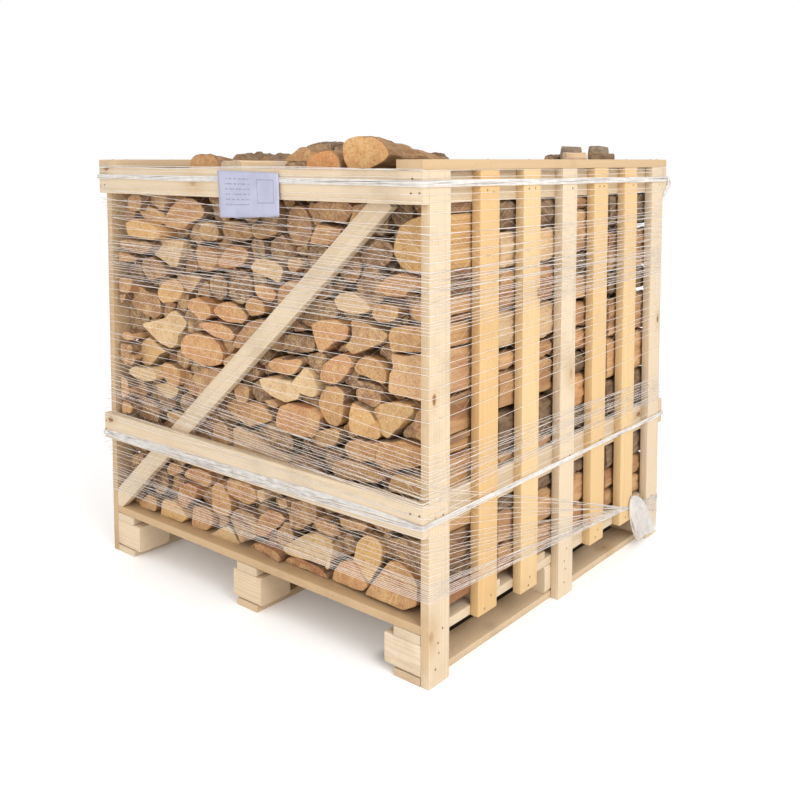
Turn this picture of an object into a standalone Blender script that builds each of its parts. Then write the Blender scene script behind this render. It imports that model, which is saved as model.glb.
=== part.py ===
"""Crate of split alder firewood on its own pallet, wrapped in a knitted net.

Metres, +Z up. The origin is under the middle of the crate, on the floor. +X runs to the right along the
front, where the log ends show, and +Y runs from the front to the back.
"""
import math
import random

import bmesh
import bpy
from mathutils import Matrix, Vector

# Driving dimensions of the crate
WIDTH = 1.140
DEPTH = 1.150
CRATE_HEIGHT = 1.110
BOARD = 0.022
RAIL_WIDTH = 0.070
POST_WIDTH = 0.072
SLAT_WIDTH = 0.075
CLEARANCE = 0.0003
EDGE_EASE = 0.0018

# Pallet, from the floor up
SKID_BOARD = 0.018
BLOCK_SIDE = 0.100
BLOCK_HEIGHT = 0.072
PALLET_BOARD_WIDTH = 0.074
DECK_BOARD = 0.020
DECK_BOARD_WIDTH = 0.098
DECK_BOARDS = 6

# Heights of the rails, measured from the floor to their lower edge
TOP_RAIL_LOW = CRATE_HEIGHT - BOARD - RAIL_WIDTH
MIDDLE_RAIL_LOW = 0.331
SIDE_MIDDLE_RAIL_LOW = 0.326

# How far each slat starts behind the front of the crate, and where it ends above the floor
SLATS = [(0.201, 0.090), (0.376, 0.079), (0.715, 0.089), (0.887, 0.090)]

# The diagonal brace behind the front rails
BRACE_WIDTH = 0.046
BRACE_ANGLE = math.radians(41.4)
BRACE_POINT = (0.3095, 0.400)

# Firewood: rows of logs that lie from front to back, one row behind the other
LOG_ROWS = 4
LOG_LENGTH = 0.250
ROW_PITCH = 0.268
STACK_SIDE_ROOM = 0.0465
STACK_FRONT = 0.048
STACK_TOP = 1.068
LOG_END_STAGGER = 0.012
LOG_END_ROUND = 0.006
BARK_GROOVE = 0.016
SHORTEST_CELL_EDGE = 0.006
SHORTEST_BARK_SIDE = 0.045
TOP_UNEVENNESS = 0.011
CORNER_REACH = 0.004
ON_THE_RIM = 1e-5

# Middles of the log ends in the front row, in millimetres from the crate's left front corner: across, up
LOG_CENTRES = [
    (75, 150), (140, 160), (230, 152), (350, 155), (450, 142), (520, 180), (600, 140), (740, 130), (880, 158), (1010, 168),
    (75, 268), (150, 222), (205, 220), (245, 270), (285, 215), (335, 275), (430, 235), (515, 270), (620, 225),
    (745, 195), (595, 285), (655, 288), (725, 262), (820, 262), (935, 225), (822, 190), (1055, 268), (900, 290),
    (60, 338), (160, 330), (250, 345), (360, 345), (450, 342), (550, 345), (640, 345), (730, 340), (830, 340),
    (930, 342), (1040, 348),
    (60, 402), (125, 415), (250, 408), (335, 425), (432, 410), (570, 405), (750, 395), (905, 405), (1045, 410),
    (60, 465), (120, 470), (215, 490), (300, 462), (440, 470), (560, 485), (645, 448), (725, 490), (822, 475), (915, 462),
    (1030, 475),
    (60, 548), (115, 515), (225, 530), (365, 530), (450, 540), (520, 530), (625, 515), (835, 550), (925, 535), (1020, 545),
    (1085, 552),
    (130, 585), (60, 612), (105, 642), (210, 655), (250, 590), (355, 620), (470, 615), (570, 600), (660, 560), (750, 595),
    (680, 620), (845, 635), (945, 650), (1050, 645), (950, 606),
    (60, 715), (135, 725), (60, 765), (245, 760), (250, 700), (355, 730), (320, 790), (435, 680), (540, 675), (480, 725),
    (575, 750), (625, 680), (720, 680), (710, 740), (835, 705), (940, 715), (1050, 728), (400, 775),
    (160, 815), (70, 800), (60, 842), (245, 812), (320, 840), (490, 795), (610, 785), (690, 800), (780, 800), (890, 790),
    (995, 780), (1080, 795),
    (90, 872), (225, 860), (385, 855), (495, 870), (615, 845), (715, 862), (800, 865), (920, 850), (1045, 850),
    (115, 918), (320, 895), (405, 928), (515, 930), (610, 935), (690, 920), (810, 935), (890, 910), (975, 910), (1065, 935),
    (165, 962), (75, 980), (310, 968), (430, 985), (510, 990), (600, 990), (690, 985), (830, 990), (915, 980), (1000, 985),
    (60, 1042), (150, 1036), (245, 1044), (335, 1036), (425, 1043), (515, 1038), (610, 1045), (705, 1038), (795, 1042),
    (885, 1037), (975, 1043), (1060, 1038),
]

# Logs that lie on top of the stack: name, left edge, width, height above the stack, front end, length
TOP_LOGS = [
    ("top_log_1", 0.330, 0.122, 0.058, 0.052, 0.245),
    ("top_log_2", 0.660, 0.092, 0.068, 0.080, 0.240),
    ("top_log_3", 0.756, 0.110, 0.061, 0.050, 0.250),
    ("top_log_4", 0.870, 0.138, 0.094, 0.047, 0.250),
    ("offcut_1", 0.994, 0.056, 0.076, 0.772, 0.056),
    ("offcut_2", 0.996, 0.056, 0.080, 0.922, 0.058),
]

# Knitted net: two gathered bands round the crate, and the loose end at the rear right post
NET_BULK = 0.0012
TOP_BAND = (1.051, 1.066)
MIDDLE_BAND = (0.336, 0.354)
NET_TAIL = [(0.900, 0.150), (0.925, 0.158), (1.000, 0.140), (1.090, 0.095), (1.128, 0.045), (1.126, 0.004),
            (1.060, 0.004), (1.040, 0.060), (0.990, 0.112)]
TAIL_BULK = 0.0026

# Paper label that hangs from the front top rail: its corners across and up from the crate's left front corner
LABEL = [(0.502, 1.083), (0.718, 1.076), (0.730, 0.977), (0.522, 0.968)]
LABEL_PAPER = 0.0006

COLLECTION = "firewood_crate"


def clear_scene():
    for old in list(bpy.data.objects):
        bpy.data.objects.remove(old, do_unlink=True)


def new_collection(name):
    collection = bpy.data.collections.new(name)
    bpy.context.scene.collection.children.link(collection)
    return collection


def finish(name, colour, roughness):
    material = bpy.data.materials.new(name)
    material.use_nodes = True
    shader = material.node_tree.nodes["Principled BSDF"]
    shader.inputs["Base Color"].default_value = (*colour, 1.0)
    shader.inputs["Roughness"].default_value = roughness
    shader.inputs["Metallic"].default_value = 0.0
    return material


def place(x, y, z):
    """Crate measures, from the left front corner on the floor, to the part's own frame."""
    return Vector((x - WIDTH / 2, y - DEPTH / 2, z))


def add_object(name, bm, material, location=(0, 0, 0)):
    bmesh.ops.recalc_face_normals(bm, faces=bm.faces)
    mesh = bpy.data.meshes.new(name)
    bm.to_mesh(mesh)
    bm.free()
    mesh.materials.append(material)
    part = bpy.data.objects.new(name, mesh)
    part.location = location
    PARTS.objects.link(part)
    return part


def ease_edges(part, width, segments=1):
    bevel = part.modifiers.new("eased edges", "BEVEL")
    bevel.width = width
    bevel.segments = segments
    bevel.limit_method = "ANGLE"
    bevel.angle_limit = math.radians(30)


def board(name, low, high, material, ease=EDGE_EASE):
    """A sawn board or block between two corners given in crate measures."""
    size = [high[i] - low[i] for i in range(3)]
    middle = [(high[i] + low[i]) / 2 for i in range(3)]
    bm = bmesh.new()
    bmesh.ops.create_cube(bm, size=1.0, matrix=Matrix.Diagonal((*size, 1.0)))
    part = add_object(name, bm, material, place(*middle))
    ease_edges(part, ease)
    return part


def both_sides(low_x, high_x):
    """The span of a piece on the left of the crate and of its mirror image on the right."""
    return {"left": (low_x, high_x), "right": (WIDTH - high_x, WIDTH - low_x)}


def pallet():
    front = BOARD + CLEARANCE
    back = DEPTH - front
    inner_left = BOARD + CLEARANCE
    inner_right = WIDTH - inner_left
    lanes = {
        "left": (inner_left, inner_left + PALLET_BOARD_WIDTH, inner_left, inner_left + BLOCK_SIDE),
        "middle": ((WIDTH - PALLET_BOARD_WIDTH) / 2, (WIDTH + PALLET_BOARD_WIDTH) / 2,
                   (WIDTH - BLOCK_SIDE) / 2, (WIDTH + BLOCK_SIDE) / 2),
        "right": (inner_right - PALLET_BOARD_WIDTH, inner_right, inner_right - BLOCK_SIDE, inner_right),
    }
    block_low = SKID_BOARD + CLEARANCE
    block_high = SKID_BOARD + BLOCK_HEIGHT - CLEARANCE
    stringer_high = SKID_BOARD + BLOCK_HEIGHT + BOARD - CLEARANCE
    block_rows = {"front": front, "middle": (DEPTH - BLOCK_SIDE) / 2, "back": back - BLOCK_SIDE}
    for side, (x0, x1, block_x0, block_x1) in lanes.items():
        board(f"skid_board_{side}", (x0, front, 0.0), (x1, back, SKID_BOARD), PALE_BOARD)
        board(f"stringer_board_{side}", (x0, front, block_high + CLEARANCE), (x1, back, stringer_high), PALE_BOARD)
        for row, y0 in block_rows.items():
            board(f"block_{side}_{row}", (block_x0, y0, block_low), (block_x1, y0 + BLOCK_SIDE, block_high),
                  BLOCK_WOOD, ease=0.004)
    step = (back - front - DECK_BOARD_WIDTH) / (DECK_BOARDS - 1)
    for i in range(DECK_BOARDS):
        y0 = front + i * step
        board(f"deck_board_{i + 1}", (inner_left, y0, stringer_high + CLEARANCE),
              (inner_right, y0 + DECK_BOARD_WIDTH, DECK_TOP), PALE_BOARD)


def sides():
    top = CRATE_HEIGHT - BOARD - CLEARANCE
    post_rows = {"front": BOARD + CLEARANCE, "middle": 0.552, "back": DEPTH - BOARD - CLEARANCE - POST_WIDTH}
    for side, (x0, x1) in both_sides(0.0, BOARD).items():
        for row, y0 in post_rows.items():
            board(f"post_{side}_{row}", (x0, y0, 0.0), (x1, y0 + POST_WIDTH, top), PALE_BOARD)
        for i, (y0, low) in enumerate(SLATS):
            board(f"slat_{side}_{i + 1}", (x0, y0, low), (x1, y0 + SLAT_WIDTH, top), YELLOW_BOARD)
    rail_start = 2 * BOARD + 2 * CLEARANCE
    for side, (x0, x1) in both_sides(BOARD + CLEARANCE, 2 * BOARD + CLEARANCE).items():
        board(f"side_top_rail_{side}", (x0, rail_start, TOP_RAIL_LOW), (x1, DEPTH - rail_start, top), PALE_BOARD)
        board(f"side_middle_rail_{side}", (x0, rail_start, SIDE_MIDDLE_RAIL_LOW),
              (x1, DEPTH - rail_start, SIDE_MIDDLE_RAIL_LOW + RAIL_WIDTH), PALE_BOARD)
    for side, (x0, x1) in both_sides(0.0, RAIL_WIDTH).items():
        board(f"cap_board_{side}", (x0, 0.0, CRATE_HEIGHT - BOARD), (x1, DEPTH, CRATE_HEIGHT), PALE_BOARD)


def front_and_back():
    top = CRATE_HEIGHT - BOARD - CLEARANCE
    for face, (y0, y1) in {"front": (0.0, BOARD), "back": (DEPTH - BOARD, DEPTH)}.items():
        board(f"top_rail_{face}", (0.0, y0, TOP_RAIL_LOW), (WIDTH, y1, top), PALE_BOARD)
        board(f"middle_rail_{face}", (0.0, y0, MIDDLE_RAIL_LOW), (WIDTH, y1, MIDDLE_RAIL_LOW + RAIL_WIDTH), PALE_BOARD)
    brace("brace_front", BOARD + CLEARANCE, mirrored=False)
    brace("brace_back", DEPTH - 2 * BOARD - CLEARANCE, mirrored=True)


def brace(name, y0, mirrored):
    """A batten that leans across the opening, cut off at the deck, the post and the top of the rail."""
    bm = bmesh.new()
    length = 2.0
    shape = Matrix.Diagonal((length, BOARD, BRACE_WIDTH, 1.0))
    lean = Matrix.Rotation(-BRACE_ANGLE, 4, "Y")
    middle = Matrix.Translation((BRACE_POINT[0], y0 + BOARD / 2, BRACE_POINT[1]))
    bmesh.ops.create_cube(bm, size=1.0, matrix=middle @ lean @ shape)
    room = BOARD + 2 * CLEARANCE
    cuts = [
        ((room, 0, 0), (-1, 0, 0)),
        ((WIDTH - room, 0, 0), (1, 0, 0)),
        ((0, 0, DECK_TOP + CLEARANCE), (0, 0, -1)),
        ((0, 0, CRATE_HEIGHT - BOARD - CLEARANCE), (0, 0, 1)),
    ]
    for point, outward in cuts:
        everything = list(bm.verts) + list(bm.edges) + list(bm.faces)
        cut = bmesh.ops.bisect_plane(bm, geom=everything, plane_co=point, plane_no=outward, clear_outer=True)
        rim = [item for item in cut["geom_cut"] if isinstance(item, bmesh.types.BMEdge)]
        if rim:
            bmesh.ops.edgeloop_fill(bm, edges=rim)
    if mirrored:
        bmesh.ops.scale(bm, vec=(-1, 1, 1), verts=bm.verts)
        bmesh.ops.translate(bm, vec=(WIDTH, 0, 0), verts=bm.verts)
    bmesh.ops.translate(bm, vec=place(0, 0, 0), verts=bm.verts)
    part = add_object(name, bm, PALE_BOARD)
    ease_edges(part, EDGE_EASE)


def clip(polygon, point, outward):
    """The part of a flat polygon on the inner side of a line."""
    kept = []
    for i, here in enumerate(polygon):
        there = polygon[(i + 1) % len(polygon)]
        here_out = (here[0] - point[0]) * outward[0] + (here[1] - point[1]) * outward[1]
        there_out = (there[0] - point[0]) * outward[0] + (there[1] - point[1]) * outward[1]
        if here_out <= 0:
            kept.append(here)
        if (here_out < 0 < there_out) or (there_out < 0 < here_out):
            share = here_out / (here_out - there_out)
            kept.append((here[0] + share * (there[0] - here[0]), here[1] + share * (there[1] - here[1])))
    return kept


def log_cells(centres, low, high):
    """Divides a rectangle into one cell for each log, with the borders midway between neighbours."""
    frame = [(low[0], low[1]), (high[0], low[1]), (high[0], high[1]), (low[0], high[1])]
    cells = []
    for here in centres:
        cell = frame
        for there in centres:
            across = (there[0] - here[0], there[1] - here[1])
            if there is not here and math.hypot(*across) < 0.35:
                middle = ((here[0] + there[0]) / 2, (here[1] + there[1]) / 2)
                cell = clip(cell, middle, across)
        if len(cell) >= 3:
            cells.append(cell)
    return cells


def groove_the_rim(bm, low, high, rng):
    """Presses the borders between the outer logs inwards, so that each log's bark side stands out."""
    corners = {(x, z) for x in (low[0], high[0]) for z in (low[1], high[1])}
    borders = set()
    for v in bm.verts:
        if v.is_boundary and min(math.hypot(v.co.x - x, v.co.z - z) for x, z in corners) > CORNER_REACH:
            borders.add(v.co.copy().freeze())
    rims = [e for e in bm.edges if e.is_boundary and e.calc_length() > SHORTEST_BARK_SIDE]
    bmesh.ops.subdivide_edges(bm, edges=rims, cuts=2)
    for v in [v for v in bm.verts if v.is_boundary]:
        at_border = v.co.copy().freeze() in borders
        groove = BARK_GROOVE if at_border else 0.0
        at_left, at_right = abs(v.co.x - low[0]) < ON_THE_RIM, abs(v.co.x - high[0]) < ON_THE_RIM
        at_floor, at_top = abs(v.co.z - low[1]) < ON_THE_RIM, abs(v.co.z - high[1]) < ON_THE_RIM
        v.co.x += groove * (at_left - at_right)
        v.co.z += groove * at_floor
        v.co.z -= at_top * (groove + rng.uniform(0.0, TOP_UNEVENNESS))


def log_row(name, number, centres, rng, front_shows, back_shows):
    low = (STACK_SIDE_ROOM, DECK_TOP + CLEARANCE)
    high = (WIDTH - STACK_SIDE_ROOM, STACK_TOP)
    start = STACK_FRONT + number * ROW_PITCH
    front = start + (LOG_END_STAGGER if front_shows else 0.0)
    back = start + LOG_LENGTH - (LOG_END_STAGGER if back_shows else 0.0)
    bm = bmesh.new()
    for cell in log_cells(centres, low, high):
        bm.faces.new([bm.verts.new((x, front, z)) for x, z in cell])
    bmesh.ops.remove_doubles(bm, verts=bm.verts, dist=1e-5)
    bmesh.ops.remove_doubles(bm, verts=bm.verts, dist=SHORTEST_CELL_EDGE)
    groove_the_rim(bm, low, high, rng)
    pushed = bmesh.ops.extrude_face_region(bm, geom=list(bm.faces))
    moved = [item for item in pushed["geom"] if isinstance(item, bmesh.types.BMVert)]
    bmesh.ops.translate(bm, vec=(0, back - front, 0), verts=moved)
    bmesh.ops.recalc_face_normals(bm, faces=bm.faces)
    for level, shows in ((front, front_shows), (back, back_shows)):
        ends = [f for f in bm.faces if all(abs(v.co.y - level) < 1e-5 for v in f.verts)]
        if not shows:
            bmesh.ops.dissolve_faces(bm, faces=ends)
            continue
        for end in ends:
            stagger = rng.uniform(-LOG_END_STAGGER, LOG_END_STAGGER)
            bmesh.ops.inset_individual(bm, faces=[end], thickness=LOG_END_ROUND, depth=stagger)
    bmesh.ops.translate(bm, vec=place(0, 0, 0), verts=bm.verts)
    return add_object(name, bm, ALDER)


def firewood():
    rng = random.Random(41)
    edge = STACK_SIDE_ROOM + 0.02
    seen = [(min(max(x / 1000, edge), WIDTH - edge), z / 1000) for x, z in LOG_CENTRES]
    names = ["log_row_front", "log_row_second", "log_row_third", "log_row_back"]
    for number, name in enumerate(names):
        flipped = number % 2 == 1
        centres = []
        for x, z in seen:
            wander = 0.0 if number == 0 else 0.008
            x_here = WIDTH - x if flipped else x
            centres.append((x_here + rng.uniform(-wander, wander), z + rng.uniform(-wander, wander)))
        log_row(name, number, centres, rng, front_shows=number == 0, back_shows=number == LOG_ROWS - 1)


def top_logs():
    """Split logs with the flat side down and the bark side up, as rounded outlines pushed through their length."""
    rng = random.Random(7)
    for name, left, width, height, front, length in TOP_LOGS:
        middle = left + width / 2
        low = STACK_TOP + CLEARANCE
        arc_points = 9
        outline = [(left + width * 0.04, low), (left + width * 0.96, low)]
        for i in range(arc_points):
            turn = math.radians(-8 + 196 * i / (arc_points - 1))
            knob = 1.0 - rng.uniform(0.0, 0.05)
            outline.append((middle + width / 2 * math.cos(turn) * knob,
                            low + height * 0.36 + height * 0.64 * math.sin(turn) * knob))
        bm = bmesh.new()
        face = bm.faces.new([bm.verts.new((x, front, z)) for x, z in outline])
        pushed = bmesh.ops.extrude_face_region(bm, geom=[face])
        moved = [item for item in pushed["geom"] if isinstance(item, bmesh.types.BMVert)]
        bmesh.ops.translate(bm, vec=(0, length, 0), verts=moved)
        bmesh.ops.translate(bm, vec=place(0, 0, 0), verts=bm.verts)
        part = add_object(name, bm, BARK if name.startswith("offcut") else ALDER)
        ease_edges(part, 0.003)


def band(name, low, high, tail=None):
    """A gathered band of the net: a ribbon round the crate, just clear of the boards."""
    inner = CLEARANCE
    outer = CLEARANCE + NET_BULK
    bm = bmesh.new()
    rings = []
    for room in (inner, outer):
        corners = [(-room, -room), (WIDTH + room, -room), (WIDTH + room, DEPTH + room), (-room, DEPTH + room)]
        for z in (low, high):
            rings.append([bm.verts.new(place(x, y, z)) for x, y in corners])
    inner_low, inner_high, outer_low, outer_high = rings
    for i in range(4):
        j = (i + 1) % 4
        bm.faces.new((outer_low[i], outer_low[j], outer_high[j], outer_high[i]))
        bm.faces.new((inner_low[j], inner_low[i], inner_high[i], inner_high[j]))
        bm.faces.new((outer_high[i], outer_high[j], inner_high[j], inner_high[i]))
        bm.faces.new((outer_low[j], outer_low[i], inner_low[i], inner_low[j]))
    ribbon = add_object(name, bm, NET)
    if tail is None:
        return ribbon
    union = ribbon.modifiers.new("loose end of the net", "BOOLEAN")
    union.operation = "UNION"
    union.solver = "EXACT"
    union.object = tail
    return ribbon


def net_tail():
    """The bunched end of the net against the rear right post, with the yarns that run up to the middle band."""
    bm = bmesh.new()
    strip = [(0.770, MIDDLE_BAND[0] + 0.004), (0.800, MIDDLE_BAND[0] + 0.004)]
    outline = strip + NET_TAIL[1:] + NET_TAIL[:1]
    x0 = WIDTH + CLEARANCE * 2
    face = bm.faces.new([bm.verts.new(place(x0, y, z)) for y, z in outline])
    pushed = bmesh.ops.extrude_face_region(bm, geom=[face])
    moved = [item for item in pushed["geom"] if isinstance(item, bmesh.types.BMVert)]
    bmesh.ops.translate(bm, vec=(TAIL_BULK, 0, 0), verts=moved)
    tail = add_object("net_tail_cutter", bm, NET)
    PARTS.objects.unlink(tail)
    CUTTERS.objects.link(tail)
    tail.hide_render = True
    tail.display_type = "WIRE"
    return tail


def label():
    front = -(CLEARANCE * 2 + NET_BULK)
    bm = bmesh.new()
    face = bm.faces.new([bm.verts.new(place(x, front, z)) for x, z in LABEL])
    pushed = bmesh.ops.extrude_face_region(bm, geom=[face])
    moved = [item for item in pushed["geom"] if isinstance(item, bmesh.types.BMVert)]
    bmesh.ops.translate(bm, vec=(0, -LABEL_PAPER, 0), verts=moved)
    add_object("paper_label", bm, PAPER)


DECK_TOP = SKID_BOARD + BLOCK_HEIGHT + BOARD + DECK_BOARD

clear_scene()
PARTS = new_collection(COLLECTION)
CUTTERS = new_collection("cutters")
PALE_BOARD = finish("pale_board", (0.86, 0.72, 0.52), 0.72)
YELLOW_BOARD = finish("yellow_board", (0.88, 0.66, 0.33), 0.70)
BLOCK_WOOD = finish("block_wood", (0.80, 0.64, 0.43), 0.78)
ALDER = finish("alder", (0.55, 0.30, 0.14), 0.80)
BARK = finish("bark", (0.20, 0.16, 0.12), 0.92)
NET = finish("white_net", (0.92, 0.92, 0.93), 0.60)
PAPER = finish("paper", (0.78, 0.78, 0.90), 0.55)

pallet()
sides()
front_and_back()
firewood()
top_logs()
band("net_top_band", *TOP_BAND)
band("net_middle_band", *MIDDLE_BAND, tail=net_tail())
label()
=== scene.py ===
# %% [markdown]
# # A crate of split firewood
#
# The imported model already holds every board, each row of logs and the bands of the net, at their real
# sizes. This lesson dresses it. Boards get sawn edges and grain, each row of the stack becomes single split
# logs, and the net becomes yarns. The frame comes first, because every later piece takes its place from it.

# %% Load the frame
import math
import random

import bmesh
import bpy
import numpy as np
from mathutils import Matrix, Vector, noise


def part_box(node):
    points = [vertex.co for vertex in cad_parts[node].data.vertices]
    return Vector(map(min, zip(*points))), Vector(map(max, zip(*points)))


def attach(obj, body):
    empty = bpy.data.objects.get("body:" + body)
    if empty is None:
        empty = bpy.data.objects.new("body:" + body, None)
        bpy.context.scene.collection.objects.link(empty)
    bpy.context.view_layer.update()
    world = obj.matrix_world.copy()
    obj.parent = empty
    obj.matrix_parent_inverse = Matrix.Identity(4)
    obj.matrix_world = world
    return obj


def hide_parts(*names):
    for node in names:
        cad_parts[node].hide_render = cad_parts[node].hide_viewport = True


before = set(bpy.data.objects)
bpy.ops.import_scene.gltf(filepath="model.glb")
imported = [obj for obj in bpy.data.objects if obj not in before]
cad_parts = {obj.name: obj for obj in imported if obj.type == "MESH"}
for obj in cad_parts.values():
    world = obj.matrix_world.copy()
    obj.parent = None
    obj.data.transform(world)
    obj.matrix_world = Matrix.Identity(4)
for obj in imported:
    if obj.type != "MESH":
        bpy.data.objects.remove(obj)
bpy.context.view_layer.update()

LEFT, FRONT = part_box("cap_board_left")[0][:2]
WIDTH, DEPTH = -2 * LEFT, -2 * FRONT
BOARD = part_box("top_rail_front")[1][1] - FRONT
CAP_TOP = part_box("cap_board_left")[1][2]
print(f"crate {WIDTH:.3f} wide, {DEPTH:.3f} deep, {CAP_TOP:.3f} high, boards {BOARD * 1000:.0f} mm thick")


def place(x, y, z=0.0):
    """Crate measures, from the left front corner on the floor, to the frame's own."""
    return Vector((x + LEFT, y + FRONT, z))


# %% [markdown]
# ## The camera
#
# The crate is seen from its front right corner, from just above the height of its cap boards. A lens that
# looks slightly down and is shifted the rest of the way keeps the posts upright, as a product photograph
# does.

# %% Camera
CAMERA_PLACE = (2.3056, -1.4749, 1.1077)
CAMERA_TURN = math.radians(39.71)
CAMERA_DIP = math.radians(4.06)
FOCAL_LENGTH = 42.38
FRAME_SHIFT = -0.216

lens = bpy.data.cameras.new("camera")
lens.sensor_width = 36.0
lens.lens = FOCAL_LENGTH
lens.shift_y = FRAME_SHIFT
camera = bpy.data.objects.new("camera", lens)
camera.location = place(*CAMERA_PLACE)
camera.rotation_euler = (math.pi / 2 - CAMERA_DIP, 0.0, CAMERA_TURN)
bpy.context.scene.collection.objects.link(camera)
bpy.context.scene.camera = camera
bpy.context.scene.view_settings.view_transform = "Standard"
print("camera", [round(v, 3) for v in camera.location])


# %% [markdown]
# ## Helpers for node trees
#
# A tree takes many lines when each node and link is written out. This small class adds one node in one line:
# an input is given as a value or as another node's output.

# %% Wiring
class Wiring:
    """Adds nodes of one family to a tree, and a node of another where its kind is written out in full."""

    def __init__(self, tree, family="ShaderNode"):
        self.tree = tree
        self.family = family

    def feed(self, made, inputs):
        for name, value in dict(inputs).items():
            if isinstance(value, bpy.types.NodeSocket):
                self.tree.links.new(value, made.inputs[name])
            else:
                made.inputs[name].default_value = value
        return made

    def node(self, kind, inputs=(), **settings):
        made = self.tree.nodes.new(kind if "Node" in kind else self.family + kind)
        for name, value in settings.items():
            setattr(made, name, value)
        return self.feed(made, inputs)

    def maths(self, operation, *values, clamp=False):
        return self.node("Math", enumerate(values), operation=operation, use_clamp=clamp).outputs[0]

    def times(self, a, b):
        return self.maths("MULTIPLY", a, b)

    def vector(self, operation, *values):
        return self.node("VectorMath", enumerate(values), operation=operation).outputs[0]

    def blend(self, factor, a, b, mode="MIX"):
        made = self.node("Mix", {0: factor, 6: a, 7: b}, data_type="RGBA", blend_type=mode,
                         clamp_factor=True)
        return made.outputs[2]

    def toward(self, colour, other, mask, share):
        """The colour drawn toward another where the mask is white, by no more than the share."""
        return self.blend(self.times(mask, share), colour, other)

    def between(self, value, low, high, to_low=0.0, to_high=1.0):
        made = self.node("MapRange", {0: value, 1: low, 2: high, 3: to_low, 4: to_high}, clamp=True,
                         interpolation_type="SMOOTHSTEP")
        return made.outputs[0]

    def noise(self, vector, scale, detail=3.0, roughness=0.5, distortion=0.0):
        values = {"Vector": vector, "Scale": scale, "Detail": detail, "Roughness": roughness,
                  "Distortion": distortion}
        return self.node("TexNoise", values).outputs["Fac"]

    def stretched(self, vector, x, y, z):
        return self.vector("MULTIPLY", vector, (x, y, z))

    def attribute(self, name, output="Vector"):
        return self.node("Attribute", attribute_name=name).outputs[output]

    def group(self, tree, **values):
        made = self.tree.nodes.new("ShaderNodeGroup")
        made.node_tree = tree
        return self.feed(made, {name.replace("_", " "): value for name, value in values.items()}).outputs


SOCKETS = {"colour": "NodeSocketColor", "number": "NodeSocketFloat", "vector": "NodeSocketVector"}


def shader_group(name, inputs, outputs):
    """An empty group with named sockets, its wiring, and the sockets that it takes from and gives to."""
    tree = bpy.data.node_groups.new(name, "ShaderNodeTree")
    for label, (kind, value) in inputs.items():
        socket = tree.interface.new_socket(name=label, in_out="INPUT", socket_type=SOCKETS[kind])
        if value is not None:
            socket.default_value = value
    for label, kind in outputs.items():
        tree.interface.new_socket(name=label, in_out="OUTPUT", socket_type=SOCKETS[kind])
    take, give = tree.nodes.new("NodeGroupInput").outputs, tree.nodes.new("NodeGroupOutput").inputs
    return tree, Wiring(tree), take, give


def new_material(name, roughness=0.7, specular=0.3):
    """A material whose Principled shader has its constant values set, with the wiring to dress it."""
    material = bpy.data.materials.new(name)
    material.use_nodes = True
    shader = material.node_tree.nodes["Principled BSDF"]
    shader.inputs["Roughness"].default_value = roughness
    shader.inputs["Specular IOR Level"].default_value = specular
    return material, Wiring(material.node_tree), shader


def dress(wiring, shader, colour, roughness, height, depth):
    """Feeds a colour, a roughness and a height, given as outputs, to the Principled shader."""
    wiring.tree.links.new(colour, shader.inputs["Base Color"])
    wiring.tree.links.new(roughness, shader.inputs["Roughness"])
    bump = wiring.node("Bump", {"Strength": 1.0, "Distance": depth, "Height": height})
    wiring.tree.links.new(bump.outputs[0], shader.inputs["Normal"])


def rgb(red, green, blue):
    """A colour as an eye reads it on a screen, 0 to 255, turned into the linear values that shaders use."""
    def linear(v):
        v /= 255.0
        return v / 12.92 if v <= 0.04045 else ((v + 0.055) / 1.055) ** 2.4
    return (linear(red), linear(green), linear(blue), 1.0)


print("helpers ready")

# %% [markdown]
# ## Growth rings
#
# Softwood boards and alder ends share one thing: rings about a pith. The trick that makes sawn wood look
# right is to treat it as solid. The ring value depends on the distance from the pith line, so a face that
# is nearly parallel to the pith shows long tongues, and a cut end shows arcs, from the same formula.

# %% Growth rings as a shared group
rings, w, take, give = shader_group(
    "growth rings",
    {"Grain": ("vector", None), "Spacing": ("number", 0.004), "Waver": ("number", 0.004)},
    {"Late wood": "number", "Fibre": "number"},
)
drift = w.noise(w.stretched(take["Grain"], 1.6, 9.0, 9.0), 1.0, 2.0)
across = w.vector("MULTIPLY", take["Grain"], (0.0, 1.0, 1.0))
radius = w.node("VectorMath", {0: across}, operation="LENGTH").outputs["Value"]
wavered = w.maths("MULTIPLY_ADD", drift, take["Waver"], radius)
turns = w.maths("DIVIDE", wavered, take["Spacing"])
uneven = w.maths("MULTIPLY_ADD", w.noise(w.stretched(take["Grain"], 0.4, 60.0, 60.0), 1.0, 1.0), 1.3, turns)
ramped = w.maths("FRACT", uneven)
late = w.times(w.between(ramped, 0.35, 0.9), w.between(ramped, 1.0, 0.93))
fibre = w.noise(w.stretched(take["Grain"], 14.0, 620.0, 620.0), 1.0, 3.0, 0.6)
w.tree.links.new(late, give["Late wood"])
w.tree.links.new(fibre, give["Fibre"])
print("growth rings:", len(rings.nodes), "nodes")

# %% [markdown]
# ## Handling marks
#
# Fork tines, boots and weather leave soft grey smudges on new wood. One group darkens any colour a little
# in broad patches, and reads Object coordinates, so that a smudge runs on from one board to the next.

# %% Handling marks as a shared group
marks, w, take, give = shader_group(
    "handling marks",
    {"Color": ("colour", (1, 1, 1, 1)), "Dirt": ("colour", rgb(150, 130, 108)), "Amount": ("number", 0.3)},
    {"Color": "colour"},
)
here = w.node("TexCoord").outputs["Object"]
broad = w.between(w.noise(here, 4.5, 4.0, 0.6), 0.5, 0.78)
speck = w.between(w.noise(here, 160.0, 2.0, 0.5), 0.62, 0.8, 0.0, 0.6)
smudge = w.times(w.maths("ADD", broad, speck, clamp=True), take["Amount"])
w.tree.links.new(w.blend(smudge, take["Color"], take["Dirt"], "MULTIPLY"), give["Color"])
print("handling marks:", len(marks.nodes), "nodes")


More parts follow.
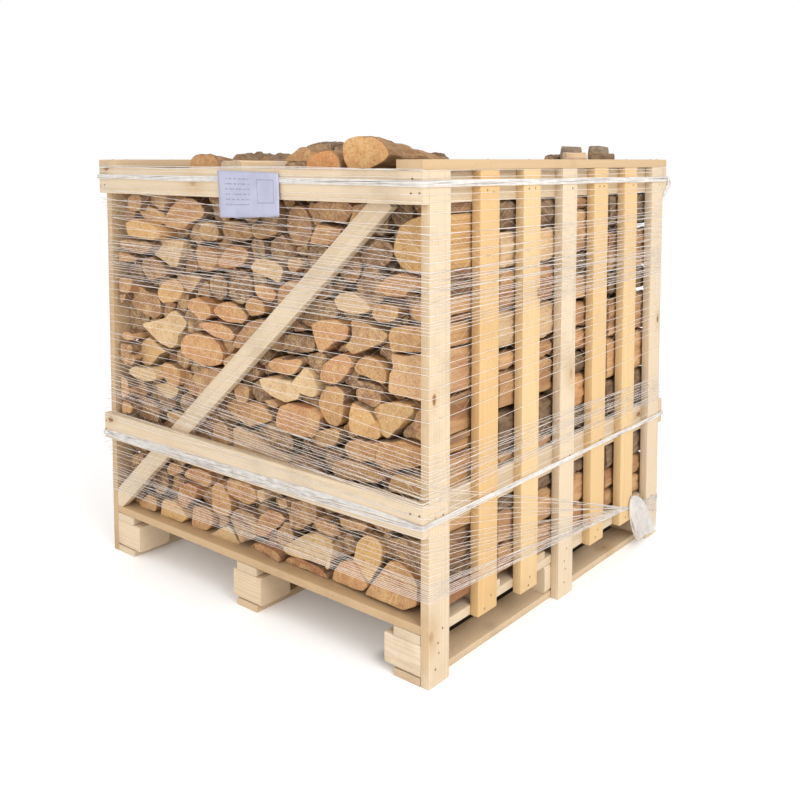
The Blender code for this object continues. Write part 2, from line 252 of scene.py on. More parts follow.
# %% [markdown]
# ## Sawn softwood
#
# The crate is built from fresh spruce, straight off the saw: cream, with slightly darker late wood, a few
# brown knots and fine ridges left by the blade. The slats come from a yellower batch. The blocks are
# rougher. Three materials share one recipe, and a board's own tone attribute keeps two neighbours from
# matching exactly. The same attribute also carries painted shade: it darkens boards and faces that lie in
# shade.

# %% Softwood materials
KNOT_SHARE = 0.13


def softwood(name, pale, dark, knot, spacing, dirt, ridges):
    material, w, shader = new_material(name)
    grain = w.attribute("grain")
    tone_and_shade = w.attribute("tone_and_shade", "Fac")
    wood = w.group(rings, Grain=grain, Spacing=spacing, Waver=0.012)
    flat = w.stretched(grain, 4.2, 8.0, 0.0)
    cells = w.node("TexVoronoi", {"Vector": flat, "Scale": 1.0, "Randomness": 1.0}, voronoi_dimensions="2D",
                   feature="F1")
    cell_number = w.node("SeparateColor", {0: cells.outputs["Color"]}).outputs[0]
    chosen = w.maths("LESS_THAN", cell_number, KNOT_SHARE)
    ragged = w.noise(grain, 90.0, 2.0)
    reach = w.maths("MULTIPLY_ADD", ragged, 0.03, cells.outputs["Distance"])
    from_mark = w.stretched(w.vector("SUBTRACT", grain, w.attribute("mark")), 0.6, 1.0, 1.0)
    mark_reach = w.node("VectorMath", {0: from_mark}, operation="LENGTH").outputs["Value"]
    mark_reach = w.maths("MULTIPLY_ADD", ragged, 0.006, mark_reach)
    knot_core = w.times(w.between(reach, 0.082, 0.050), chosen)
    knot_core = w.maths("MAXIMUM", knot_core, w.between(mark_reach, 0.015, 0.005, 0.0, 0.45))
    knot_halo = w.times(w.between(reach, 0.22, 0.07), chosen)
    knot_halo = w.maths("MAXIMUM", knot_halo, w.between(mark_reach, 0.048, 0.008, 0.0, 1.5))
    strength = w.maths("MULTIPLY_ADD", tone_and_shade, 0.16, 0.26)
    colour = w.toward(pale, dark, wood["Late wood"], strength)
    colour = w.toward(colour, dark, w.between(wood["Fibre"], 0.35, 0.75), 0.16)
    colour = w.toward(colour, dark, knot_halo, 0.45)
    colour = w.blend(knot_core, colour, knot)
    colour = w.toward(colour, dark, tone_and_shade, 0.55)
    colour = w.group(marks, Color=colour, Amount=dirt)["Color"]
    sawn = {"Vector": w.stretched(grain, 1.0, 0.12, 0.12), "Scale": 70.0, "Distortion": 2.5, "Detail": 2.0}
    blade = w.node("TexWave", sawn, wave_type="BANDS", bands_direction="X").outputs["Fac"]
    height = w.maths("MULTIPLY_ADD", blade, ridges, wood["Fibre"])
    height = w.maths("MULTIPLY_ADD", wood["Late wood"], 0.35, height)
    rough = w.between(wood["Fibre"], 0.2, 0.8, 0.62, 0.82)
    dress(w, shader, colour, rough, height, 0.0006)
    return material


PALE_BOARD = softwood("pale_board", pale=rgb(211, 193, 167), dark=rgb(188, 158, 120), knot=rgb(132, 92, 58),
                      spacing=0.0042, dirt=0.34, ridges=0.30)
YELLOW_BOARD = softwood("yellow_board", pale=rgb(214, 187, 143), dark=rgb(198, 156, 100),
                        knot=rgb(140, 96, 52), spacing=0.0034, dirt=0.18, ridges=0.25)
BLOCK_WOOD = softwood("block_wood", pale=rgb(224, 207, 181), dark=rgb(192, 160, 121), knot=rgb(128, 88, 58),
                      spacing=0.0050, dirt=0.40, ridges=0.55)
print("softwood materials ready")

# %% [markdown]
# ## Alder
#
# Split alder turns orange within hours of being cut. A saw leaves the ends flat and finely scored; a
# splitter leaves the sides fibrous; the rest is grey-brown bark. Each log carries its own tint as a colour
# attribute, its place relative to its pith as "grain", and "bark", which is one where the bark is left on.

# %% Bark as a shared group
bark_skin, w, take, give = shader_group(
    "bark",
    {"Grain": ("vector", None)},
    {"Color": "colour", "Height": "number"},
)
plates = w.noise(w.stretched(take["Grain"], 22.0, 70.0, 70.0), 1.0, 5.0, 0.62, 0.6)
pores = w.between(w.noise(w.stretched(take["Grain"], 260.0, 90.0, 90.0), 1.0, 2.0), 0.60, 0.74)
lichen = w.between(w.noise(take["Grain"], 26.0, 3.0), 0.56, 0.74)
skin = w.blend(w.between(plates, 0.32, 0.70), rgb(83, 65, 50), rgb(146, 121, 95))
skin = w.toward(skin, rgb(151, 135, 112), lichen, 0.55)
skin = w.toward(skin, rgb(156, 126, 96), pores, 0.2)
w.tree.links.new(skin, give["Color"])
w.tree.links.new(w.maths("MULTIPLY_ADD", pores, 0.3, plates), give["Height"])
print("bark:", len(bark_skin.nodes), "nodes")

# %% Alder materials
DARK_ALDER = rgb(132, 78, 42)


def alder_end():
    """Sawn ends: mottled tones, faint rings and rays, blade scores, and dark inner bark at the rim."""
    material, w, shader = new_material("alder_end")
    grain = w.attribute("grain")
    tint = w.attribute("tint", "Color")
    wood = w.group(rings, Grain=grain, Spacing=0.0052, Waver=0.010)
    pale_patch = w.between(w.noise(grain, 34.0, 4.0, 0.65, 0.8), 0.40, 0.66)
    red_patch = w.between(w.noise(w.vector("ADD", grain, (3.1, 1.7, 0.4)), 27.0, 4.0, 0.7, 1.2), 0.48, 0.70)
    mottle = w.noise(grain, 210.0, 4.0, 0.75)
    sides = w.node("SeparateXYZ", {0: grain})
    angle = w.maths("ARCTAN2", sides.outputs[1], sides.outputs[2])
    spokes = w.node("CombineXYZ", {0: w.times(angle, 16.0)}).outputs[0]
    rays = w.between(w.noise(spokes, 1.0, 2.0), 0.60, 0.80)
    split = w.times(w.between(w.noise(spokes, 0.55, 1.0), 0.70, 0.74), w.between(mottle, 0.35, 0.6))
    score_line = w.maths("ADD", sides.outputs[2], w.times(sides.outputs[1], 0.35))
    scores = w.noise(w.node("CombineXYZ", {0: w.times(score_line, 520.0)}).outputs[0], 1.0, 2.0)
    colour = w.toward(tint, rgb(216, 180, 124), pale_patch, 0.55)
    colour = w.toward(colour, rgb(158, 102, 66), red_patch, 0.42)
    colour = w.toward(colour, DARK_ALDER, wood["Late wood"], 0.08)
    colour = w.toward(colour, rgb(222, 196, 160), w.between(mottle, 0.46, 0.64), 0.34)
    colour = w.toward(colour, DARK_ALDER, w.between(mottle, 0.47, 0.34), 0.44)
    colour = w.toward(colour, DARK_ALDER, rays, 0.13)
    colour = w.toward(colour, rgb(72, 48, 34), split, 0.75)
    colour = w.toward(colour, rgb(230, 198, 150), w.between(scores, 0.45, 0.75), 0.16)
    rim = w.between(w.attribute("bark", "Fac"), 0.35, 0.95)
    colour = w.toward(colour, rgb(92, 64, 46), rim, 0.80)
    colour = w.group(marks, Color=colour, Amount=0.45)["Color"]
    height = w.maths("MULTIPLY_ADD", wood["Late wood"], 0.2, w.maths("MULTIPLY_ADD", scores, 0.8, mottle))
    rough = w.between(scores, 0.2, 0.8, 0.72, 0.9)
    dress(w, shader, colour, rough, height, 0.0012)
    return material


def alder_side():
    """Split faces and bark, mixed by each log's bark attribute."""
    material, w, shader = new_material("alder_side")
    grain = w.attribute("grain")
    tint = w.attribute("tint", "Color")
    torn = w.noise(w.stretched(grain, 7.0, 240.0, 240.0), 1.0, 4.0, 0.65, 0.3)
    stain = w.between(w.noise(w.stretched(grain, 5.0, 28.0, 28.0), 1.0, 3.0), 0.38, 0.66)
    red = w.between(w.noise(w.stretched(grain, 4.0, 22.0, 22.0), 1.0, 3.0, 0.6, 0.5), 0.50, 0.72)
    split = w.toward(tint, rgb(224, 186, 136), stain, 0.50)
    split = w.toward(split, rgb(160, 108, 72), red, 0.26)
    split = w.toward(split, DARK_ALDER, w.between(torn, 0.40, 0.74), 0.46)
    bark = w.group(bark_skin, Grain=grain)
    skin = w.blend(0.25, bark["Color"], tint)
    ragged = w.maths("ADD", w.attribute("bark", "Fac"), w.times(w.maths("SUBTRACT", torn, 0.5), 0.9))
    mask = w.between(ragged, 0.42, 0.56)
    colour = w.blend(mask, split, skin)
    colour = w.group(marks, Color=colour, Amount=0.3)["Color"]
    height = w.blend(mask, torn, bark["Height"])
    rough = w.between(mask, 0.0, 1.0, 0.78, 0.94)
    dress(w, shader, colour, rough, height, 0.0022)
    return material


ALDER_END = alder_end()
ALDER_SIDE = alder_side()
print("alder materials ready")

# %% [markdown]
# ## Net, nails and paper
#
# The net's yarns are white polyethylene with a soft sheen, a little see-through where a single thread
# crosses something dark. The nails are dull steel. The label is lavender paper with ruled fields and no
# words.

# %% Small materials
def yarn_material():
    material, w, shader = new_material("white_net", 0.42, 0.5)
    here = w.node("TexCoord").outputs["Object"]
    twist = w.node("TexWave", {"Vector": here, "Scale": 240.0, "Distortion": 1.5}, wave_type="BANDS",
                   bands_direction="DIAGONAL").outputs["Fac"]
    thin = w.noise(here, 55.0, 3.0)
    colour = w.blend(w.between(thin, 0.35, 0.7), rgb(236, 229, 221), rgb(222, 214, 209))
    shader.inputs["Sheen Weight"].default_value = 0.2
    shader.inputs["Subsurface Weight"].default_value = 0.7
    shader.inputs["Subsurface Radius"].default_value = (1.0, 1.0, 1.0)
    shader.inputs["Subsurface Scale"].default_value = 0.0012
    dress(w, shader, colour, w.between(twist, 0.0, 1.0, 0.38, 0.56), twist, 0.0003)
    return material


def nail_material():
    material, w, shader = new_material("nail_steel", 0.5, 0.5)
    here = w.node("TexCoord").outputs["Object"]
    rust = w.between(w.noise(here, 300.0, 3.0), 0.45, 0.65)
    colour = w.blend(rust, rgb(150, 132, 114), rgb(112, 84, 62))
    shader.inputs["Metallic"].default_value = 0.6
    dress(w, shader, colour, w.between(rust, 0.0, 1.0, 0.40, 0.75), rust, 0.0002)
    return material


def paper_material():
    """Ruled fields on a pale label: rows of grey bars on the left and an empty framed box on the right."""
    material, w, shader = new_material("label_paper", 0.45, 0.4)
    spot = w.node("SeparateXYZ", {0: w.node("UVMap", uv_map="label").outputs[0]})
    across, up = spot.outputs[0], spot.outputs[1]

    def inside(value, low, high):
        return w.times(w.maths("GREATER_THAN", value, low), w.maths("LESS_THAN", value, high))

    def box(x0, x1, y0, y1):
        return w.times(inside(across, x0, x1), inside(up, y0, y1))

    rows = w.maths("FRACT", w.times(up, 9.0))
    bars = w.times(w.times(inside(rows, 0.35, 0.62), box(0.12, 0.52, 0.24, 0.86)), 0.45)
    gaps = w.between(w.noise(w.node("CombineXYZ", {0: w.times(across, 26.0),
                                                   1: w.maths("FLOOR", w.times(up, 9.0))}).outputs[0],
                             1.0, 1.0), 0.46, 0.50)
    frame_line = w.maths("SUBTRACT", box(0.64, 0.92, 0.30, 0.84), box(0.652, 0.908, 0.325, 0.815))
    ink = w.maths("MAXIMUM", w.times(bars, gaps), w.times(frame_line, 0.35))
    fade = w.noise(w.node("TexCoord").outputs["Object"], 30.0, 3.0)
    paper = w.blend(w.between(fade, 0.3, 0.7), rgb(169, 170, 190), rgb(160, 161, 183))
    colour = w.blend(ink, paper, rgb(84, 80, 100))
    dress(w, shader, colour, w.between(fade, 0.3, 0.7, 0.38, 0.55), fade, 0.0004)
    return material


NET_YARN = yarn_material()
NAIL_STEEL = nail_material()
LABEL_PAPER = paper_material()
print("small materials ready")


# %% [markdown]
# ## Finishing a mesh
#
# Every piece ends the same way: its mesh is written to an object at the origin, its attributes are filled
# from where each point lies, it rides on the crate's body, and it stands for the nodes that it replaces.

# %% Finishing helpers
def write_attribute(mesh, name, kind, values):
    """Fills one attribute on the points: numbers, vectors or colours, flattened."""
    layer = mesh.attributes.new(name, kind, "POINT")
    field = {"FLOAT": "value", "FLOAT_VECTOR": "vector", "FLOAT_COLOR": "color"}[kind]
    layer.data.foreach_set(field, values)


def settle(piece, slot, *nodes):
    """The piece rides on the crate and stands for CAD nodes; the slot is not used."""
    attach(piece, "root")
    if nodes:
        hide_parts(*nodes)


def new_piece(name, mesh):
    piece = bpy.data.objects.new(name, mesh)
    bpy.context.scene.collection.objects.link(piece)
    return piece


# %% [markdown]
# ## Boards
#
# A sawn board is never a clean box. Its arrises are worn by different amounts along its length, its faces
# wander by a fraction of a millimetre, and now and then an edge still follows the outside of the tree. So a
# board is lofted: a rounded rectangle is repeated along the length, and each copy is disturbed by noise.

# %% Lofting one board
SECTION_STEP = 0.055
ARRIS = 0.0007
SHARPEST_ARRIS = 0.0005
END_BEVEL = 0.0005
FACE_WANDER = 0.00025
CORNER_POINTS = 3
FACE_SHARES = (0.25, 0.5, 0.75)
WOBBLES_PER_METRE = 7.0
WANES_PER_METRE = 4.0
SHAKES_PER_METRE = 11.0


def rounded_section(across, thick, radii, bulge):
    """Points round a rectangle with a radius for each corner, starting at the lower right."""
    points = []
    for corner, (sx, sy) in enumerate([(1, -1), (1, 1), (-1, 1), (-1, -1)]):
        r = radii[corner]
        for i in range(CORNER_POINTS):
            turn = math.radians(-90 + 90 * corner + 90 * i / (CORNER_POINTS - 1))
            x = sx * (across / 2 - r) + r * math.cos(turn)
            y = sy * (thick / 2 - r) + r * math.sin(turn)
            points.append((x, y))
        end_x, end_y = points[-1]
        if corner in (1, 3):
            for share in FACE_SHARES:
                x = end_x * (1 - 2 * share)
                points.append((x, end_y + math.copysign(bulge, end_y) * math.sin(math.pi * share)))
    return points


def loft_board(size, seed, wane, rough):
    """A board of length, width and thickness about its own middle, as a closed bmesh."""
    length, across, thick = size
    steps = max(3, round(length / SECTION_STEP))
    bm = bmesh.new()
    loops = []
    for i in range(steps + 1):
        along = -length / 2 + length * i / steps
        end_cut = END_BEVEL if i in (0, steps) else 0.0
        radii = []
        for corner in range(4):
            wobble = noise.noise(Vector((along * WOBBLES_PER_METRE, corner * 3.7, seed)))
            bare = noise.noise(Vector((along * WANES_PER_METRE, seed, corner * 1.9)))
            waney = wane[corner] * (0.6 + 0.6 * bare)
            worn = ARRIS * (1 + wobble) * rough + max(waney, 0.0)
            radii.append(max(SHARPEST_ARRIS, min(worn, thick * 0.48)))
        ring = []
        for x, y in rounded_section(across - 2 * end_cut, thick - 2 * end_cut, radii, FACE_WANDER * rough):
            grit = noise.noise(Vector((along * SHAKES_PER_METRE, x * 40.0, y * 40.0 + seed)))
            shake = abs(FACE_WANDER * rough * grit)
            ring.append(bm.verts.new((along, x - math.copysign(shake, x), y - math.copysign(shake, y))))
        loops.append(ring)
    for a, b in zip(loops, loops[1:]):
        for k in range(len(a)):
            n = (k + 1) % len(a)
            bm.faces.new((a[k], b[k], b[n], a[n]))
    for ring, lean in ((loops[0], -1), (loops[-1], 1)):
        bm.faces.new(ring if lean < 0 else ring[::-1])
    bmesh.ops.recalc_face_normals(bm, faces=bm.faces)
    return bm


BOARD_CREASE = math.radians(38)


def finish_board(name, node, bm, to_local, seed, material, slot, tone_and_shade):
    """Shading, grain coordinates, tone and painted shade for a board whose points are in the crate's frame.
    """
    rng = random.Random(seed)
    mesh = bpy.data.meshes.new(name)
    bm.to_mesh(mesh)
    bm.free()
    mesh.shade_smooth()
    mesh.set_sharp_from_angle(angle=BOARD_CREASE)
    lengthwise = rng.uniform(-40, 40)
    sideways = rng.choice((-1, 1)) * rng.uniform(0.0, 0.05)
    pith = Vector((lengthwise, sideways, rng.uniform(0.02, 0.09)))
    lean = rng.uniform(-0.012, 0.012)
    tongue = TONGUES.get(node, 0.0)
    front = min(v.co.y for v in mesh.vertices)

    def grain_at(point):
        at = to_local @ point + pith
        return [at.x, at.y + lean * (at.x - pith.x), at.z + tongue * (at.x - pith.x)]

    # Painted shade: the front face of some posts, which lies in shade, is made darker by its own amount.
    def tone_and_shade_at(point):
        return tone_and_shade + (PAINTED_SHADE_ON_FRONTS.get(node, 0.0) if point.y < front + ARRIS / 2 else 0.0)

    mark = grain_at(place(*MARKS[node])) if node in MARKS else NO_MARK
    write_attribute(mesh, "grain", "FLOAT_VECTOR", [c for v in mesh.vertices for c in grain_at(v.co)])
    write_attribute(mesh, "mark", "FLOAT_VECTOR", list(mark) * len(mesh.vertices))
    write_attribute(mesh, "tone_and_shade", "FLOAT", [tone_and_shade_at(v.co) for v in mesh.vertices])
    mesh.materials.append(material)
    settle(new_piece(name, mesh), slot, node)


def board_axes(size):
    """Rotation whose columns are the board's length, width and thickness directions."""
    order = sorted(range(3), key=lambda i: -size[i])
    columns = [Vector([1.0 if i == axis else 0.0 for i in range(3)]) for axis in order]
    if columns[0].cross(columns[1]).dot(columns[2]) < 0:
        columns[2].negate()
    return Matrix(columns).transposed().to_4x4(), [size[i] for i in order]


def board_from_node(node, seed, material, slot, wane=(0, 0, 0, 0), rough=1.0):
    low, high = (Vector(v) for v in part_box(node))
    turn, size = board_axes(high - low)
    to_world = Matrix.Translation((low + high) / 2) @ turn
    bm = loft_board(size, seed, wane, rough)
    bmesh.ops.transform(bm, matrix=to_world, verts=bm.verts)
    tone_and_shade = TONES_AND_PAINTED_SHADE.get(node, random.Random(seed * 3 + 1).uniform(0.0, 1.0) ** 1.5)
    finish_board(node + "_wood", node, bm, to_world.inverted(), seed, material, slot, tone_and_shade)


print("board helpers ready")

# %% [markdown]
# The nodes' names say what each board is, so one loop dresses them all. A few pieces get a waney edge,
# where the bark was: the corners of the blocks, and one edge of the boards under the load. A tone above
# nought is a board that is darker than its neighbours: for most boards that is their own colour, and for the
# left front post, the front deck board and the right skid board it is painted shade. A mark is one knot in a
# place of its own.

# %% Dressing the boards
# Some of these tones are painted shade: post_left_front, deck_board_1 and skid_board_right are darkened
# because they lie in shade.
TONES_AND_PAINTED_SHADE = {
    "cap_board_right": 1.60, "cap_board_left": 1.00, "post_left_front": 1.60, "post_right_front": 0.15,
    "post_right_middle": 0.0, "post_right_back": 0.10, "slat_right_1": 1.00, "slat_right_2": 0.20,
    "slat_right_3": 0.55, "slat_right_4": 0.40, "top_rail_front": 0.20, "middle_rail_front": 0.10,
    "skid_board_right": 0.80, "deck_board_1": 1.70, "block_right_front": 0.1, "block_middle_front": 0.7,
    "block_left_front": 0.4,
}
MARKS = {"top_rail_front": (0.411, 0.0, 1.052), "post_right_middle": (WIDTH, 0.604, 0.573),
         "post_right_front": (WIDTH, 0.030, 0.112), "skid_board_right": (1.095, 0.885, 0.022)}
NO_MARK = Vector((9.0, 9.0, 9.0))
# Painted shade on the front faces of two right posts, which lie in shade.
PAINTED_SHADE_ON_FRONTS = {"post_right_front": 0.85, "post_right_middle": 0.4}
TONGUES = {"skid_board_right": 0.50, "skid_board_left": 0.09, "cap_board_right": 0.03}
WANEY_BLOCK = (0.010, 0.016, 0.004, 0.008)
SLIGHT_WANE = (0.0, 0.0025, 0.0, 0.0)
board_count = 0
for index, node in enumerate(sorted(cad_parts)):
    if node.startswith(("log_row", "top_log", "offcut", "net_", "paper", "brace")):
        continue
    if node.startswith("slat"):
        board_from_node(node, index, YELLOW_BOARD, "yellow_board")
    elif node.startswith("block"):
        board_from_node(node, index, BLOCK_WOOD, "block_wood", WANEY_BLOCK, 1.3)
    elif node.startswith(("skid", "deck", "stringer")):
        board_from_node(node, index, PALE_BOARD, "pale_board", SLIGHT_WANE, 1.1)
    else:
        board_from_node(node, index, PALE_BOARD, "pale_board")
    board_count += 1
print(board_count, "boards dressed")

# %% [markdown]
# ## Braces
#
# A brace is an ordinary batten laid at a slope and sawn off where it meets the deck, the post and the
# underside of the cap. It is lofted too long, turned, and cut with the same planes that a carpenter would
# mark.

# %% The two braces
BRACE_SLOPE = math.radians(41.4)
BRACE_POINT = (0.3095, 0.400)
BRACE_SIZE = (1.9, 0.051, 0.0216)
BEHIND_RAIL = 0.012
BRACE_TONE = 0.15


def brace(node, mirrored, seed):
    low, high = (Vector(v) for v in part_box(node))
    side = -1 if mirrored else 1
    middle = place(WIDTH - BRACE_POINT[0] if mirrored else BRACE_POINT[0], 0, BRACE_POINT[1])
    middle.y = (low.y + high.y) / 2
    lengthwise = Vector((side * math.cos(BRACE_SLOPE), 0, math.sin(BRACE_SLOPE)))
    widthwise = Vector((-side * math.sin(BRACE_SLOPE), 0, math.cos(BRACE_SLOPE)))
    columns = [lengthwise, widthwise, lengthwise.cross(widthwise)]
    to_world = Matrix.Translation(middle) @ Matrix(columns).transposed().to_4x4()
    bm = loft_board(BRACE_SIZE, seed, SLIGHT_WANE, 1.0)
    bmesh.ops.transform(bm, matrix=to_world, verts=bm.verts)
    high.z += BEHIND_RAIL
    for point, outward in ((low, (-1, 0, 0)), (low, (0, 0, -1)), (high, (1, 0, 0)), (high, (0, 0, 1))):
        everything = list(bm.verts) + list(bm.edges) + list(bm.faces)
        cut = bmesh.ops.bisect_plane(bm, geom=everything, plane_co=point, plane_no=outward, clear_outer=True)
        rim = [item for item in cut["geom_cut"] if isinstance(item, bmesh.types.BMEdge)]
        if rim:
            bmesh.ops.edgeloop_fill(bm, edges=rim)
    bmesh.ops.recalc_face_normals(bm, faces=bm.faces)
    finish_board(node + "_wood", node, bm, to_world.inverted(), seed, PALE_BOARD, "pale_board", BRACE_TONE)


brace("brace_front", False, 71)
brace("brace_back", True, 72)
print("braces dressed")

# %% [markdown]
# ## Split logs
#
# Alder is sawn to a quarter of a metre and split into wedges. A stack looks right when its log ends do: no
# two alike, some with a curved bark side, all with flat split sides, packed so that only dark slits stay
# between them. So the ends of the front row are drawn one by one: a tint, and then the few corners that the
# outline needs, each as its distance across and up in millimetres from the crate's left front corner on the
# floor.

